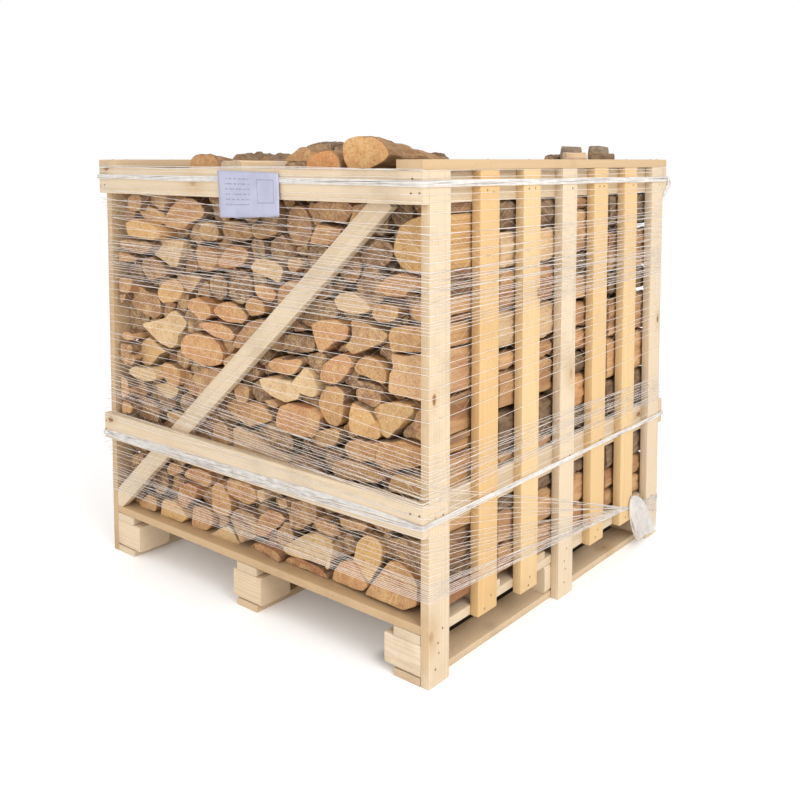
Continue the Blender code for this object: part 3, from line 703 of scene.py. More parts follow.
# %% Ends of the front row, across and up in millimetres
FRONT_ROW_ENDS = [
    ("brown", 45, 982, 50, 1006, 80, 1015, 112, 1014, 122, 995, 110, 968, 60, 965),
    ("tan", 124, 990, 128, 1012, 150, 1015, 225, 1015, 231, 998, 220, 970, 186, 978, 142, 990),
    ("yellow", 104, 980, 140, 985, 185, 973, 222, 962, 228, 940, 190, 930, 130, 945, 112, 960),
    ("orange", 235, 955, 260, 985, 290, 1005, 320, 1012, 350, 1008, 375, 992, 385, 975, 372, 960, 330, 945,
     290, 925, 250, 930, 232, 935),
    ("yellow", 30, 932, 70, 948, 125, 942, 195, 925, 205, 905, 165, 890, 100, 893, 40, 897),
    ("brown", 5, 882, 45, 888, 150, 886, 165, 878, 140, 858, 110, 850, 50, 855, 8, 865),
    ("pale", 143, 862, 172, 885, 195, 898, 250, 897, 300, 897, 288, 870, 280, 830, 272, 825, 240, 825, 205,
     838, 165, 848),
    ("dark", 302, 850, 305, 893, 330, 897, 343, 870, 335, 850),
    ("orange", 335, 870, 350, 890, 385, 888, 420, 882, 445, 870, 440, 845, 405, 822, 360, 823, 345, 835),
    ("tan", 368, 930, 378, 950, 405, 955, 432, 948, 440, 925, 425, 905, 395, 900, 375, 905),
    ("brown", 105, 830, 118, 845, 160, 848, 195, 835, 215, 815, 225, 803, 200, 792, 170, 788, 130, 780, 112,
     795, 100, 812),
    ("tan", 0, 775, 40, 785, 70, 780, 60, 755, 45, 735, 0, 735),
    ("brown", 0, 728, 36, 732, 25, 710, 5, 700),
    ("orange", 0, 850, 60, 845, 95, 835, 70, 825, 0, 820),
    ("brown", 52, 725, 72, 768, 105, 768, 150, 752, 188, 752, 198, 725, 185, 690, 160, 678, 110, 688, 75,
     700),
    ("yellow", 200, 770, 215, 785, 260, 795, 285, 785, 292, 765, 280, 745, 250, 728, 215, 722, 198, 735,
     192, 755),
    ("tan", 270, 800, 300, 810, 350, 812, 370, 808, 350, 785, 330, 765, 315, 762, 295, 780),
    ("orange", 303, 735, 320, 750, 355, 757, 390, 745, 405, 735, 410, 715, 385, 700, 355, 697, 320, 715,
     305, 722),
    ("orange", 365, 690, 400, 698, 450, 698, 480, 690, 495, 672, 480, 655, 440, 655, 410, 665, 385, 675),
    ("pale", 118, 655, 150, 665, 200, 678, 225, 700, 248, 706, 275, 693, 298, 675, 285, 655, 265, 640, 262,
     615, 240, 600, 205, 605, 150, 635),
    ("yellow", 75, 565, 95, 600, 130, 618, 180, 608, 230, 592, 195, 580, 175, 560, 150, 540, 120, 538, 82,
     545),
    ("orange", 285, 625, 305, 650, 345, 662, 400, 655, 428, 635, 440, 610, 432, 585, 395, 575, 340, 580,
     290, 595),
    ("dark", 80, 650, 100, 652, 125, 645, 110, 632, 85, 635),
    ("orange", 8, 615, 25, 630, 60, 625, 70, 608, 40, 600, 10, 602),
    ("brown", 0, 590, 55, 592, 62, 575, 40, 562, 0, 565),
    ("brown", 455, 935, 475, 955, 520, 955, 558, 945, 570, 925, 545, 905, 500, 903, 462, 912),
    ("orange", 440, 865, 460, 885, 495, 902, 540, 898, 550, 880, 530, 855, 490, 840, 450, 842, 435, 852),
    ("brown", 560, 950, 600, 955, 640, 950, 650, 930, 600, 915, 570, 918),
    ("pale", 555, 845, 575, 865, 610, 872, 650, 865, 672, 850, 665, 828, 655, 812, 620, 820, 585, 832, 562,
     835),
    ("orange", 570, 800, 600, 808, 640, 800, 650, 785, 640, 765, 600, 768, 580, 780),
    ("orange", 655, 810, 690, 828, 740, 830, 745, 815, 710, 795, 690, 770, 660, 760, 645, 765),
    ("tan", 690, 870, 700, 882, 735, 880, 745, 865, 725, 850, 705, 838, 692, 848),
    ("orange", 532, 745, 545, 765, 570, 776, 610, 770, 622, 750, 615, 735, 590, 728, 555, 722, 540, 730),
    ("orange", 418, 725, 440, 745, 470, 753, 510, 745, 530, 730, 540, 718, 520, 700, 470, 700, 440, 710),
    ("brown", 480, 655, 505, 680, 545, 712, 590, 728, 625, 730, 620, 710, 590, 690, 560, 665, 540, 650, 500,
     640, 470, 640),
    ("tan", 440, 600, 455, 610, 480, 625, 510, 620, 490, 590, 450, 585),
    ("orange", 610, 620, 640, 635, 690, 640, 735, 648, 745, 640, 720, 620, 695, 600, 640, 597, 610, 605),
    ("pale", 715, 600, 750, 630, 770, 620, 785, 590, 782, 565, 770, 555, 730, 560, 700, 580),
    ("pale", 600, 580, 640, 590, 700, 590, 730, 570, 720, 545, 680, 530, 640, 540, 610, 555),
    ("dark", 665, 690, 720, 700, 775, 695, 780, 665, 740, 655, 680, 660),
    ("brown", 765, 1005, 800, 1015, 880, 1015, 900, 1000, 880, 975, 870, 965, 800, 970, 785, 985),
    ("orange", 765, 935, 785, 962, 830, 962, 875, 955, 860, 935, 835, 920, 820, 915, 755, 913),
    ("tan", 880, 950, 895, 985, 900, 1010, 940, 1015, 950, 1010, 930, 990, 900, 965),
    ("yellow", 1018, 910, 1025, 940, 1045, 975, 1075, 990, 1110, 995, 1110, 870, 1060, 868, 1035, 880),
    ("dark", 930, 895, 960, 935, 985, 945, 1015, 930, 1020, 905, 1000, 880, 950, 880),
    ("orange", 975, 835, 1000, 860, 1040, 875, 1090, 862, 1110, 845, 1060, 838, 1050, 820, 1000, 820),
    ("pale", 825, 790, 850, 810, 900, 815, 940, 800, 960, 785, 930, 770, 890, 765, 840, 768),
    ("tan", 955, 770, 965, 795, 1000, 800, 1030, 795, 1030, 770, 1010, 755, 970, 755),
    ("orange", 1060, 785, 1075, 808, 1110, 818, 1110, 775, 1070, 770),
    ("orange", 772, 728, 800, 742, 850, 748, 890, 735, 885, 705, 850, 695, 820, 675, 800, 662, 785, 690),
    ("tan", 880, 690, 900, 720, 895, 755, 930, 755, 975, 745, 1000, 732, 985, 712, 960, 700, 930, 690, 905,
     678),
    ("orange", 998, 725, 1010, 745, 1050, 757, 1110, 758, 1110, 705, 1050, 695, 1005, 690),
    ("pink", 1005, 688, 1050, 690, 1110, 703, 1110, 600, 1005, 603, 1000, 640, 1012, 660),
    ("orange", 890, 640, 905, 662, 935, 678, 970, 675, 995, 655, 998, 635, 990, 620, 940, 628, 905, 630),
    ("orange", 785, 610, 800, 640, 830, 665, 870, 680, 895, 670, 890, 640, 860, 610, 840, 600, 800, 600),
    ("orange", 785, 545, 800, 575, 825, 595, 860, 600, 885, 590, 875, 550, 865, 515, 845, 498, 815, 500,
     795, 520),
    ("yellow", 955, 555, 985, 575, 1030, 588, 1075, 588, 1085, 575, 1050, 545, 1020, 515, 1000, 495, 980,
     500, 965, 520),
    ("yellow", 885, 545, 895, 575, 945, 560, 965, 530, 970, 505, 960, 492, 930, 495, 885, 500, 880, 520),
    ("dark", 902, 605, 995, 602, 985, 618, 940, 624, 908, 624),
    ("brown", 1070, 555, 1085, 585, 1110, 590, 1110, 510, 1075, 520),
    ("brown", 0, 575, 50, 560, 75, 555, 60, 530, 20, 528, 0, 540),
    ("pale", 50, 525, 80, 535, 150, 535, 170, 515, 150, 500, 110, 492, 70, 500, 40, 510),
    ("orange", 170, 545, 200, 560, 240, 562, 275, 550, 270, 525, 265, 505, 235, 495, 205, 515, 180, 535),
    ("pale", 155, 495, 200, 505, 235, 512, 270, 500, 262, 480, 235, 465, 200, 470, 180, 480),
    ("brown", 295, 515, 330, 545, 370, 568, 430, 570, 450, 560, 420, 520, 390, 500, 350, 487, 310, 492),
    ("pink", 0, 500, 35, 490, 40, 465, 35, 445, 10, 430, 0, 430),
    ("brown", 55, 430, 80, 448, 140, 450, 180, 440, 190, 415, 180, 390, 120, 385, 70, 385),
    ("tan", 210, 425, 250, 430, 285, 425, 300, 410, 280, 390, 240, 385, 215, 400),
    ("orange", 0, 425, 40, 425, 55, 410, 45, 392, 0, 385),
    ("brown", 48, 265, 60, 285, 95, 290, 105, 275, 95, 255, 60, 250),
    ("orange", 212, 265, 230, 290, 262, 285, 285, 275, 262, 262, 240, 252, 215, 250),
    ("orange", 280, 270, 300, 290, 340, 297, 385, 292, 390, 270, 370, 250, 330, 255, 290, 262),
    ("red", 245, 215, 260, 240, 300, 255, 345, 250, 330, 225, 305, 200, 280, 175, 250, 170, 240, 190),
    ("yellow", 170, 130, 180, 175, 200, 190, 240, 190, 280, 170, 295, 155, 270, 135, 245, 130, 200, 130,
     172, 130),
    ("orange", 60, 140, 95, 165, 120, 182, 165, 180, 170, 155, 160, 140, 110, 135, 75, 132),
    ("orange", 312, 150, 315, 190, 340, 200, 390, 195, 400, 165, 380, 140, 365, 132, 335, 132, 312, 134),
    ("orange", 395, 395, 400, 425, 430, 440, 465, 435, 472, 400, 470, 382, 400, 382),
    ("pale", 475, 430, 500, 440, 560, 430, 620, 410, 670, 400, 690, 385, 480, 382),
    ("orange", 450, 480, 480, 500, 540, 510, 600, 512, 650, 490, 640, 475, 600, 460, 560, 445, 500, 455),
    ("tan", 490, 530, 510, 550, 545, 545, 550, 520, 540, 500, 505, 500),
    ("orange", 655, 480, 670, 520, 700, 530, 760, 525, 795, 515, 790, 480, 775, 455, 720, 450, 680, 455,
     655, 465),
    ("tan", 600, 520, 640, 530, 665, 515, 640, 505),
    ("brown", 690, 395, 720, 412, 800, 405, 805, 385, 700, 383),
    ("orange", 395, 215, 405, 265, 425, 285, 450, 285, 470, 260, 475, 235, 470, 205, 455, 192, 420, 190,
     400, 195),
    ("orange", 458, 275, 470, 295, 520, 300, 550, 298, 572, 285, 575, 262, 550, 242, 500, 245, 465, 255),
    ("pale", 390, 132, 430, 160, 472, 182, 490, 165, 505, 135, 495, 131, 445, 131, 410, 131),
    ("grey", 475, 195, 500, 225, 560, 225, 580, 190, 560, 160, 530, 145, 510, 132, 500, 150),
    ("orange", 565, 200, 585, 235, 610, 255, 650, 252, 665, 240, 640, 215, 620, 200, 600, 180, 575, 180),
    ("red", 530, 133, 545, 150, 580, 158, 640, 160, 668, 150, 660, 135, 620, 132, 570, 132),
    ("red", 660, 132, 675, 150, 720, 160, 790, 155, 820, 135, 800, 132, 740, 132, 690, 132),
    ("pale", 670, 175, 700, 200, 740, 225, 770, 235, 825, 230, 820, 200, 805, 165, 800, 157, 720, 160, 680,
     162),
    ("pale", 575, 290, 605, 298, 612, 270, 595, 255, 580, 270),
    ("tan", 640, 290, 675, 298, 680, 275, 650, 265),
    ("brown", 680, 250, 690, 295, 770, 300, 775, 260, 745, 245, 720, 225, 690, 225),
    ("tan", 785, 470, 800, 480, 850, 495, 865, 490, 860, 470, 845, 450, 800, 440, 780, 450),
    ("orange", 865, 460, 880, 480, 910, 490, 945, 485, 962, 470, 960, 445, 920, 435, 880, 440),
    ("orange", 962, 490, 1000, 500, 1050, 508, 1110, 500, 1110, 470, 1060, 448, 1000, 435, 965, 445),
    ("yellow", 998, 400, 1010, 425, 1050, 435, 1110, 432, 1110, 390, 1000, 388),
    ("pink", 830, 395, 840, 420, 880, 435, 940, 430, 985, 405, 960, 390, 900, 382, 850, 383),
    ("yellow", 895, 220, 905, 250, 930, 275, 965, 275, 980, 260, 980, 225, 960, 190, 945, 165, 920, 180,
     890, 200),
    ("orange", 930, 132, 950, 165, 975, 200, 1000, 230, 1030, 235, 1060, 220, 1085, 200, 1085, 155, 1050,
     132, 980, 131),
    ("orange", 815, 132, 825, 160, 850, 190, 890, 205, 920, 180, 942, 160, 925, 140, 890, 132, 840, 132),
    ("brown", 770, 260, 790, 275, 850, 275, 870, 255, 840, 240, 790, 238),
    ("tan", 855, 298, 945, 298, 930, 280, 880, 270, 860, 275),
    ("dark", 1010, 290, 1110, 298, 1110, 215, 1060, 235, 1020, 260),
    ("pale", 805, 150, 815, 190, 825, 225, 840, 225, 830, 190, 820, 155),
]
print(len(FRONT_ROW_ENDS), "log ends drawn")

# %% [markdown]
# The tints were mixed: fresh alder is pale, turns orange, then red-brown. Split ends that face the
# light look yellow, ends that lie in shade look brown; so these tints are partly painted light and shade.

# %% Tints
# Painted light and shade: yellow and pale also stand for ends in the light, brown and dark for ends in
# shade.
TINTS = {
    "pale": rgb(210, 180, 141),
    "yellow": rgb(200, 158, 104),
    "orange": rgb(187, 138, 94),
    "fresh": rgb(208, 142, 82),
    "amber": rgb(200, 146, 92),
    "pink": rgb(193, 150, 112),
    "tan": rgb(180, 140, 101),
    "red": rgb(166, 112, 74),
    "brown": rgb(155, 114, 81),
    "grey": rgb(138, 114, 90),
    "dark": rgb(121, 92, 71),
    "weathered": rgb(206, 190, 168),
}
print(len(TINTS), "tints")

# %% [markdown]
# ## Filling the rest of the row
#
# The rails, the brace and the label hide parts of the row from the front, but not from the side. Rather
# than leave holes there, more logs grow into whatever room is left: the spot farthest from every outline is
# found, and from it an outline spreads in all directions until it nearly meets a neighbour.

# %% Outlines and the room between them
BESIDE_SLATS = 0.0235
ROW_LEFT, ROW_RIGHT = BESIDE_SLATS, WIDTH - BESIDE_SLATS
ROW_LOW, ROW_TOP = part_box("log_row_front")[0][2] + 0.001, 1.0172
LOG_GAP = 0.0014
GRID_STEP, FINE_STEP = 0.010, 0.004
SMALLEST_ROOM, SLIT_ROOM = 0.0065, 0.0026
SMALLEST_SPREAD, LARGEST_SPREAD = 0.030, 0.052
NEIGHBOUR_RAY = 1.35
LEFT_EDGE_ENDS, RIGHT_EDGE_STARTS = 0.135, WIDTH - 0.10
NEARLY_NOTHING = 1e-12
SPREAD_TURNS = [2 * math.pi * i / 16 for i in range(16)]
SPREAD_RAYS = [np.array((math.cos(turn), math.sin(turn))) for turn in SPREAD_TURNS]


def corners(*numbers):
    """Pairs of metres from a run of millimetres, across and up in turn."""
    return [(x / 1000, z / 1000) for x, z in zip(numbers[::2], numbers[1::2])]


def clamp(value, low, high):
    return max(low, min(high, value))


def edges_of(outlines):
    """All edges of all outlines as two arrays of end points."""
    starts, ends = [], []
    for outline in outlines:
        starts += outline
        ends += outline[1:] + outline[:1]
    return np.array(starts), np.array(ends)


def distance_to_edges(points, starts, ends):
    along = ends - starts
    length = np.maximum((along ** 2).sum(1), NEARLY_NOTHING)
    share = np.clip(((points[:, None] - starts) * along).sum(2) / length, 0, 1)
    nearest = starts + share[..., None] * along
    return np.sqrt(((points[:, None] - nearest) ** 2).sum(2)).min(1)


def inside_any(points, outlines):
    inside = np.zeros(len(points), bool)
    for outline in outlines:
        odd = np.zeros(len(points), bool)
        for (x0, z0), (x1, z1) in zip(outline, outline[1:] + outline[:1]):
            crosses = (z0 > points[:, 1]) != (z1 > points[:, 1])
            if z1 != z0:
                odd ^= crosses & (points[:, 0] < x0 + (points[:, 1] - z0) * (x1 - x0) / (z1 - z0))
        inside |= odd
    return inside


def spread_from(centre, starts, ends, largest):
    """An outline that spreads from a centre until each ray nearly meets an edge."""
    reach = []
    for ray in SPREAD_RAYS:
        along = ends - starts
        offset = starts - centre
        cross = ray[0] * along[:, 1] - ray[1] * along[:, 0]
        cross = np.where(np.abs(cross) < NEARLY_NOTHING, NEARLY_NOTHING, cross)
        distance = (offset[:, 0] * along[:, 1] - offset[:, 1] * along[:, 0]) / cross
        share = (offset[:, 0] * ray[1] - offset[:, 1] * ray[0]) / cross
        hits = distance[(distance > 0) & (share >= 0) & (share <= 1)]
        reach.append(min(hits.min() if len(hits) else largest, largest))
    after = reach[1:] + reach[:1]
    even = [min(r, reach[i - 1] * NEIGHBOUR_RAY, after[i] * NEIGHBOUR_RAY) for i, r in enumerate(reach)]
    return [tuple(float(c + r * way) for c, way in zip(centre, ray)) for r, ray in zip(even, SPREAD_RAYS)]


def fill_room(outlines, seed, smallest=SMALLEST_ROOM, left=ROW_LEFT, right=ROW_RIGHT, step=GRID_STEP):
    """More outlines for the room that is left in the row between two limits."""
    rng = random.Random(seed)
    border = [(ROW_LEFT, ROW_LOW), (ROW_RIGHT, ROW_LOW), (ROW_RIGHT, ROW_TOP), (ROW_LEFT, ROW_TOP)]
    xs = np.arange(left + step, right - step, step)
    zs = np.arange(ROW_LOW + step, ROW_TOP - step, step)
    spots = np.array([(x, z) for x in xs for z in zs])
    spots = spots[~inside_any(spots, outlines)]
    grown = []
    starts, ends = edges_of(outlines + [border])
    while len(spots):
        room = distance_to_edges(spots, starts, ends)
        best = int(room.argmax())
        if room[best] < smallest:
            break
        outline = spread_from(spots[best], starts, ends, rng.uniform(SMALLEST_SPREAD, LARGEST_SPREAD))
        grown.append((float(room[best]), outline))
        starts, ends = edges_of(outlines + [points for size, points in grown] + [border])
        spots = spots[~inside_any(spots, [outline])]
    return grown


DRAWN = [(tint, [(x, max(z, ROW_LOW)) for x, z in corners(*numbers)]) for tint, *numbers in FRONT_ROW_ENDS]
FILLED = fill_room([points for tint, points in DRAWN], 5)
TAKEN = [points for size, points in DRAWN + FILLED]
SLIVERS = fill_room(TAKEN, 6, SLIT_ROOM, ROW_LEFT, LEFT_EDGE_ENDS, FINE_STEP)
SLIVERS += fill_room(TAKEN, 7, SLIT_ROOM, RIGHT_EDGE_STARTS, ROW_RIGHT, FINE_STEP)
print(len(FILLED), "more logs fill what the rails and the brace hide")
print(len(SLIVERS), "slivers fill the slits at the sides")


# %% [markdown]
# ## The top of a row
#
# The last layer is laid with the round side up, so that the stack sheds rain. These logs follow a rule:
# widths that vary, a flat underside, and an arched back.

# %% The arched top layer
RAIL_CLEAR = 0.0465
TOP_TINTS = ["brown", "orange", "tan", "dark", "red"]
TOP_NARROWEST, TOP_WIDEST = 0.075, 0.135
TOP_UNEVEN = 0.022
TOP_SPACE = 0.004
ARCH_STEPS = 8


def top_layer(seed, height):
    rng = random.Random(seed)
    layer = []
    left = RAIL_CLEAR
    while left < WIDTH - RAIL_CLEAR - 0.03:
        width = min(rng.uniform(TOP_NARROWEST, TOP_WIDEST), WIDTH - RAIL_CLEAR - left)
        rise = height - rng.uniform(0.0, TOP_UNEVEN) - ROW_TOP - TOP_SPACE
        points = []
        for i in range(ARCH_STEPS + 1):
            turn = math.pi * i / ARCH_STEPS
            lift = rise * math.sin(turn) ** rng.uniform(0.5, 0.8)
            points.append((left + width * (0.5 - 0.48 * math.cos(turn)), ROW_TOP + 0.003 + lift))
        layer.append((rng.choice(TOP_TINTS), points))
        left += width + TOP_SPACE
    return layer


print(len(top_layer(1, 1.06)), "logs in a top layer")


# %% [markdown]
# ## One log
#
# A log is a loft along its length. Its outline first has each corner cut back a little and is then spaced
# evenly. Fine ridges run with the fibres on split faces, while the bark side is smoother but lumpier. The
# sawn end gets a small ragged bevel, and rings of points close to its rim so that the dark inner bark stays
# thin.

# %% Lofting one log
POINT_SPACING = 0.015
LUMP_SPACING = 0.006
CORNER_CUT = 0.0045
INNER_BARK = 0.0032
END_BANDS = ((0.45, 0.0), (INNER_BARK, 0.0), (0.0, 1.0))
END_TILT, END_DRIFT = (0.16, 0.14), (0.006, 0.004)
END_BURR = 0.0012
END_WANDER = 0.0009
SPLINTER, SWELLING = 0.0016, 0.0030
LOG_CREASE = math.radians(34)


def cut_corners(points, cut):
    made = []
    for i, here in enumerate(points):
        for other in (points[i - 1], points[(i + 1) % len(points)]):
            way = other - here
            made.append(here + way * min(0.30, cut / max(way.length, 1e-6)))
    return made


def divide_edges(points, spacing):
    """Adds points along the long edges, so that splinters have something to bend."""
    made = []
    for a, b in zip(points, points[1:] + points[:1]):
        pieces = max(1, round((b - a).length / spacing))
        made += [a.lerp(b, k / pieces) for k in range(pieces)]
    return made


class LogPile:
    """Gathers many logs in one mesh, with their attributes. Slot 0 is sawn ends, slot 1 sides."""

    def __init__(self, name):
        self.name = name
        self.bm = bmesh.new()
        self.grain = []
        self.tint = []
        self.bark = []

    def point(self, at, grain, tint, bark):
        self.grain += grain
        self.tint += tint
        self.bark.append(bark)
        return self.bm.verts.new(at)

    def log(self, outline, front, length, tint, seed, sections=6, bark_side=None, bark_reach=0.8, lean=1.0,
            droop=0.0, lumps=0.0, flank=1.0, seen=(True, True)):
        """A log from the corners of its outline, across and up, and from its place and length in the depth.

        bark_side, bark_reach: the way that the bark faces, as an angle, and how far round it goes.
        lean: how crooked the log lies. droop: how much lower its far end is. lumps: how coarse its bark is.
        flank: how bright its sides are; below one it is painted shade. seen: whether the front and the back
        end get a rim of inner bark."""
        rng = random.Random(seed)
        bends = [Vector(p) for p in outline]
        if sum(a.x * b.y - b.x * a.y for a, b in zip(bends, bends[1:] + bends[:1])) < 0:
            bends.reverse()
        middle = sum(bends, Vector((0, 0))) / len(bends)
        ring = divide_edges(cut_corners(bends, CORNER_CUT), LUMP_SPACING if lumps else POINT_SPACING)
        lowest = min(p.y for p in bends)
        size = max((p - middle).length for p in ring)
        shrink = 1 - min(LOG_GAP / 2 / size, 0.2)
        bark_turn = rng.uniform(0, 2 * math.pi) if bark_side is None else bark_side
        bark_way = Vector((math.cos(bark_turn), math.sin(bark_turn)))
        width = bark_reach * rng.uniform(0.5, 1.0)
        pith = middle - bark_way * size * rng.uniform(0.5, 1.0)
        tilt = Vector([rng.uniform(-most, most) for most in END_TILT]) * lean
        drift = Vector([rng.uniform(-most, most) for most in END_DRIFT]) * lean
        bright = rng.uniform(0.86, 1.10)
        base = TINTS[tint]
        shade = [min(base[i] * bright * (1, rng.uniform(0.96, 1.03), rng.uniform(0.92, 1.05))[i], 1.0)
                 for i in range(3)]
        start = rng.uniform(0, 50)

        def bark_at(p):
            away = (p - middle).normalized()
            return clamp(0.5 + (away.dot(bark_way) - (1 - width)) * 3.0, 0.0, 1.0)

        def lay(p, y, bark, dim=1.0):
            grain = [y + start, p.x - pith.x, p.y - pith.y]
            return self.point(place(p.x, y, p.y), grain, [c * dim for c in shade] + [1.0], bark)

        def cross_section(share, inset):
            points = []
            for i, p in enumerate(ring):
                away = p - middle
                reach = max(away.length, 1e-6)
                bark = bark_at(p)
                fine = noise.noise(Vector((i * 1.7, share * 1.2, seed * 0.37)))
                broad = noise.noise(Vector((i * 0.25, share * 2.2 + 9, seed * 0.71)))
                grow = fine * SPLINTER * (1 - 0.6 * bark) + broad * SWELLING
                if lumps:
                    coarse = noise.noise(Vector((p.x * 62, p.y * 62, (front + length * share) * 48 + seed)))
                    grow += coarse * lumps * min(1.0, 0.15 + 4 * share)
                factor = shrink * (1 - inset / reach) + grow / reach - LOG_GAP / 2 / reach
                at = middle + away * factor + drift * (share - 0.5) * 2
                at.y = lowest + (at.y - lowest) * (1 - droop * share)
                points.append(at)
            return points

        loops = []
        for side in (0, 1):
            rim = cross_section(side, END_BURR)
            heart = middle.copy()
            heart.y = lowest + (heart.y - lowest) * (1 - droop * side)
            bands = []
            for inset, bark in END_BANDS if seen[side] else END_BANDS[-1:]:
                band = []
                for p in rim:
                    away = p - heart
                    q = heart + away * (1 - inset) if inset > 0.1 else p - away.normalized() * inset
                    wander = END_WANDER * noise.noise(Vector((q.x * 60, q.y * 60, seed + side)))
                    y = front + length * side + tilt.dot(q - middle) + wander
                    band.append(lay(q, y, bark * bark_at(p)))
                bands.append(band)
            centre = lay(heart, front + length * side, 0.0)
            loops.append((centre, bands))
        body = []
        for j in range(sections):
            share = j / (sections - 1)
            edge = END_BURR if j == 0 else (-END_BURR if j == sections - 1 else 0.0)
            loop = []
            for p in cross_section(share, 0.0):
                slope = tilt.dot(p - middle) * abs(2 * share - 1) ** 3
                loop.append(lay(p, front + length * share + slope + edge, bark_at(p), flank))
            body.append(loop)
        self.sew([loops[0][1][-1]] + body + [loops[1][1][-1]], 1)
        for centre, bands in loops:
            self.sew(bands, 0)
            for a, b in zip(bands[0], bands[0][1:] + bands[0][:1]):
                self.bm.faces.new((centre, a, b)).material_index = 0

    def sew(self, loops, material_index):
        for one, two in zip(loops, loops[1:]):
            for k in range(len(one)):
                n = (k + 1) % len(one)
                face = self.bm.faces.new((one[k], one[n], two[n], two[k]))
                face.material_index = material_index

    def finish(self, slot, *nodes):
        mesh = bpy.data.meshes.new(self.name)
        bmesh.ops.recalc_face_normals(self.bm, faces=self.bm.faces)
        self.bm.to_mesh(mesh)
        self.bm.free()
        mesh.shade_smooth()
        mesh.set_sharp_from_angle(angle=LOG_CREASE)
        write_attribute(mesh, "grain", "FLOAT_VECTOR", self.grain)
        write_attribute(mesh, "tint", "FLOAT_COLOR", self.tint)
        write_attribute(mesh, "bark", "FLOAT", self.bark)
        for material in (ALDER_END, ALDER_SIDE):
            mesh.materials.append(material)
        settle(new_piece(self.name, mesh), slot, *nodes)
        print(f"{self.name}: {sum(len(p.vertices) - 2 for p in mesh.polygons)} triangles")


print(f"a point every {POINT_SPACING * 1000:.0f} mm round a log, {LUMP_SPACING * 1000:.0f} under rough bark")

# %% [markdown]
# ## Four rows
#
# The front row uses the drawn outlines as they are. Each row behind it uses them too, but mirrored or
# turned upside down, so that no row looks like the next. An outline was drawn as the camera sees it. Where
# its log lies deeper in the crate, the outline slides along the lines of sight, so that it still covers the
# same spot.

# %% Placing a drawn outline
DRAWN_DEPTH = 0.055
EDGE_REACH = 0.03


def arranged(points, mirrored, turned):
    return [(WIDTH - x if mirrored else x, ROW_LOW + ROW_TOP - z if turned else z) for x, z in points]


def moved_to_depth(points, depth):
    """An outline drawn as it is seen at one depth, slid along the lines of sight to another."""
    eye_x, eye_y, eye_z = CAMERA_PLACE
    share = (depth - eye_y) / (DRAWN_DEPTH - eye_y)
    return [(eye_x + (x - eye_x) * share, eye_z + (z - eye_z) * share) for x, z in points]


def kept_inside(points):
    return [(clamp(x, ROW_LEFT, ROW_RIGHT), max(z, ROW_LOW)) for x, z in points]


def at_the_right(points):
    return max(x for x, z in points) > ROW_RIGHT - EDGE_REACH


BARK_OUTSIDE_SHARE = 0.2


def turned_inward(points, rng):
    """Most logs at the sides of the crate show a split face there, and keep their bark inside."""
    if rng.random() < BARK_OUTSIDE_SHARE:
        return None
    if at_the_right(points):
        return math.pi + rng.uniform(-1.0, 1.0)
    if min(x for x, z in points) < ROW_LEFT + EDGE_REACH:
        return rng.uniform(-1.0, 1.0)
    return None


print("an outline drawn at", DRAWN_DEPTH, "slides to", moved_to_depth([(0.5, 0.5)], 0.10)[0], "at 0.1")

# %% [markdown]
# Through the slats on the right, each row shows a stack of log sides. The rows behind the front one are
# drawn there too: each log as a tint and the heights of its top and its foot in millimetres. What comes out
# dark in the photograph is bark, what comes out pale is a split face.

# %% Logs seen through the slats
SIDE_STACKS = {
    "log_row_second": [("dark", 1016, 945), ("pale", 943, 858), ("brown", 854, 762), ("pale", 760, 672),
                       ("tan", 662, 620), ("tan", 617, 530), ("dark", 520, 424), ("brown", 421, 400),
                       ("brown", 392, 332), ("dark", 322, 288), ("tan", 286, 203), ("brown", 200, 134)],
    "log_row_third": [("brown", 1016, 983), ("tan", 981, 871), ("dark", 867, 816), ("tan", 814, 743),
                      ("brown", 740, 671), ("orange", 669, 611), ("dark", 606, 550), ("orange", 548, 461),
                      ("dark", 457, 400), ("brown", 392, 330), ("grey", 322, 282), ("tan", 280, 202),
                      ("pink", 199, 134)],
    "log_row_back": [("dark", 1016, 924), ("brown", 914, 804), ("dark", 802, 739), ("brown", 728, 620),
                     ("tan", 618, 503), ("dark", 501, 402), ("dark", 392, 330), ("grey", 322, 250),
                     ("brown", 248, 190), ("tan", 188, 134)],
}
STACK_EDGE = WIDTH - 0.088
STACK_LUMPS = 0.007
STACK_ROUNDING = 0.014
BLUNT = 0.001
MIDDLE_RAIL_SPAN = (0.324, 0.398)


def stack_outlines(spans, seed):
    """Blunt outlines between the given heights, against the slats, or behind the rail where they meet it."""
    rng = random.Random(seed)
    made = []
    for tint, top, foot in spans:
        top, foot = top / 1000, foot / 1000
        behind_rail = foot < MIDDLE_RAIL_SPAN[1] and top > MIDDLE_RAIL_SPAN[0]
        right = (WIDTH - RAIL_CLEAR if behind_rail else ROW_RIGHT) - STACK_LUMPS / 2
        left = STACK_EDGE + rng.uniform(0.002, 0.008)
        round_off = min(STACK_ROUNDING, (top - foot) * 0.28) * rng.uniform(0.5, 1.0)
        points = [
            (left, foot + round_off), (left + 0.016, foot + rng.uniform(0, 0.002)),
            (right - round_off, foot), (right - BLUNT, foot + round_off * 0.8), (right, (top + foot) / 2),
            (right - BLUNT, top - round_off * 0.7), (right - round_off, top),
            (left + 0.014, top - rng.uniform(0, 0.003)), (left, top - round_off),
        ]
        made.append((tint, points))
    return made


def beside_stack(outline, stack):
    """An outline kept clear of the stack at the right, or None where the stack takes its place."""
    if not stack:
        return outline
    if sum(x for x, z in outline) / len(outline) > STACK_EDGE - 0.004:
        return None
    return [(min(x, STACK_EDGE), z) for x, z in outline]


print({node: len(spans) for node, spans in SIDE_STACKS.items()}, "log sides drawn")
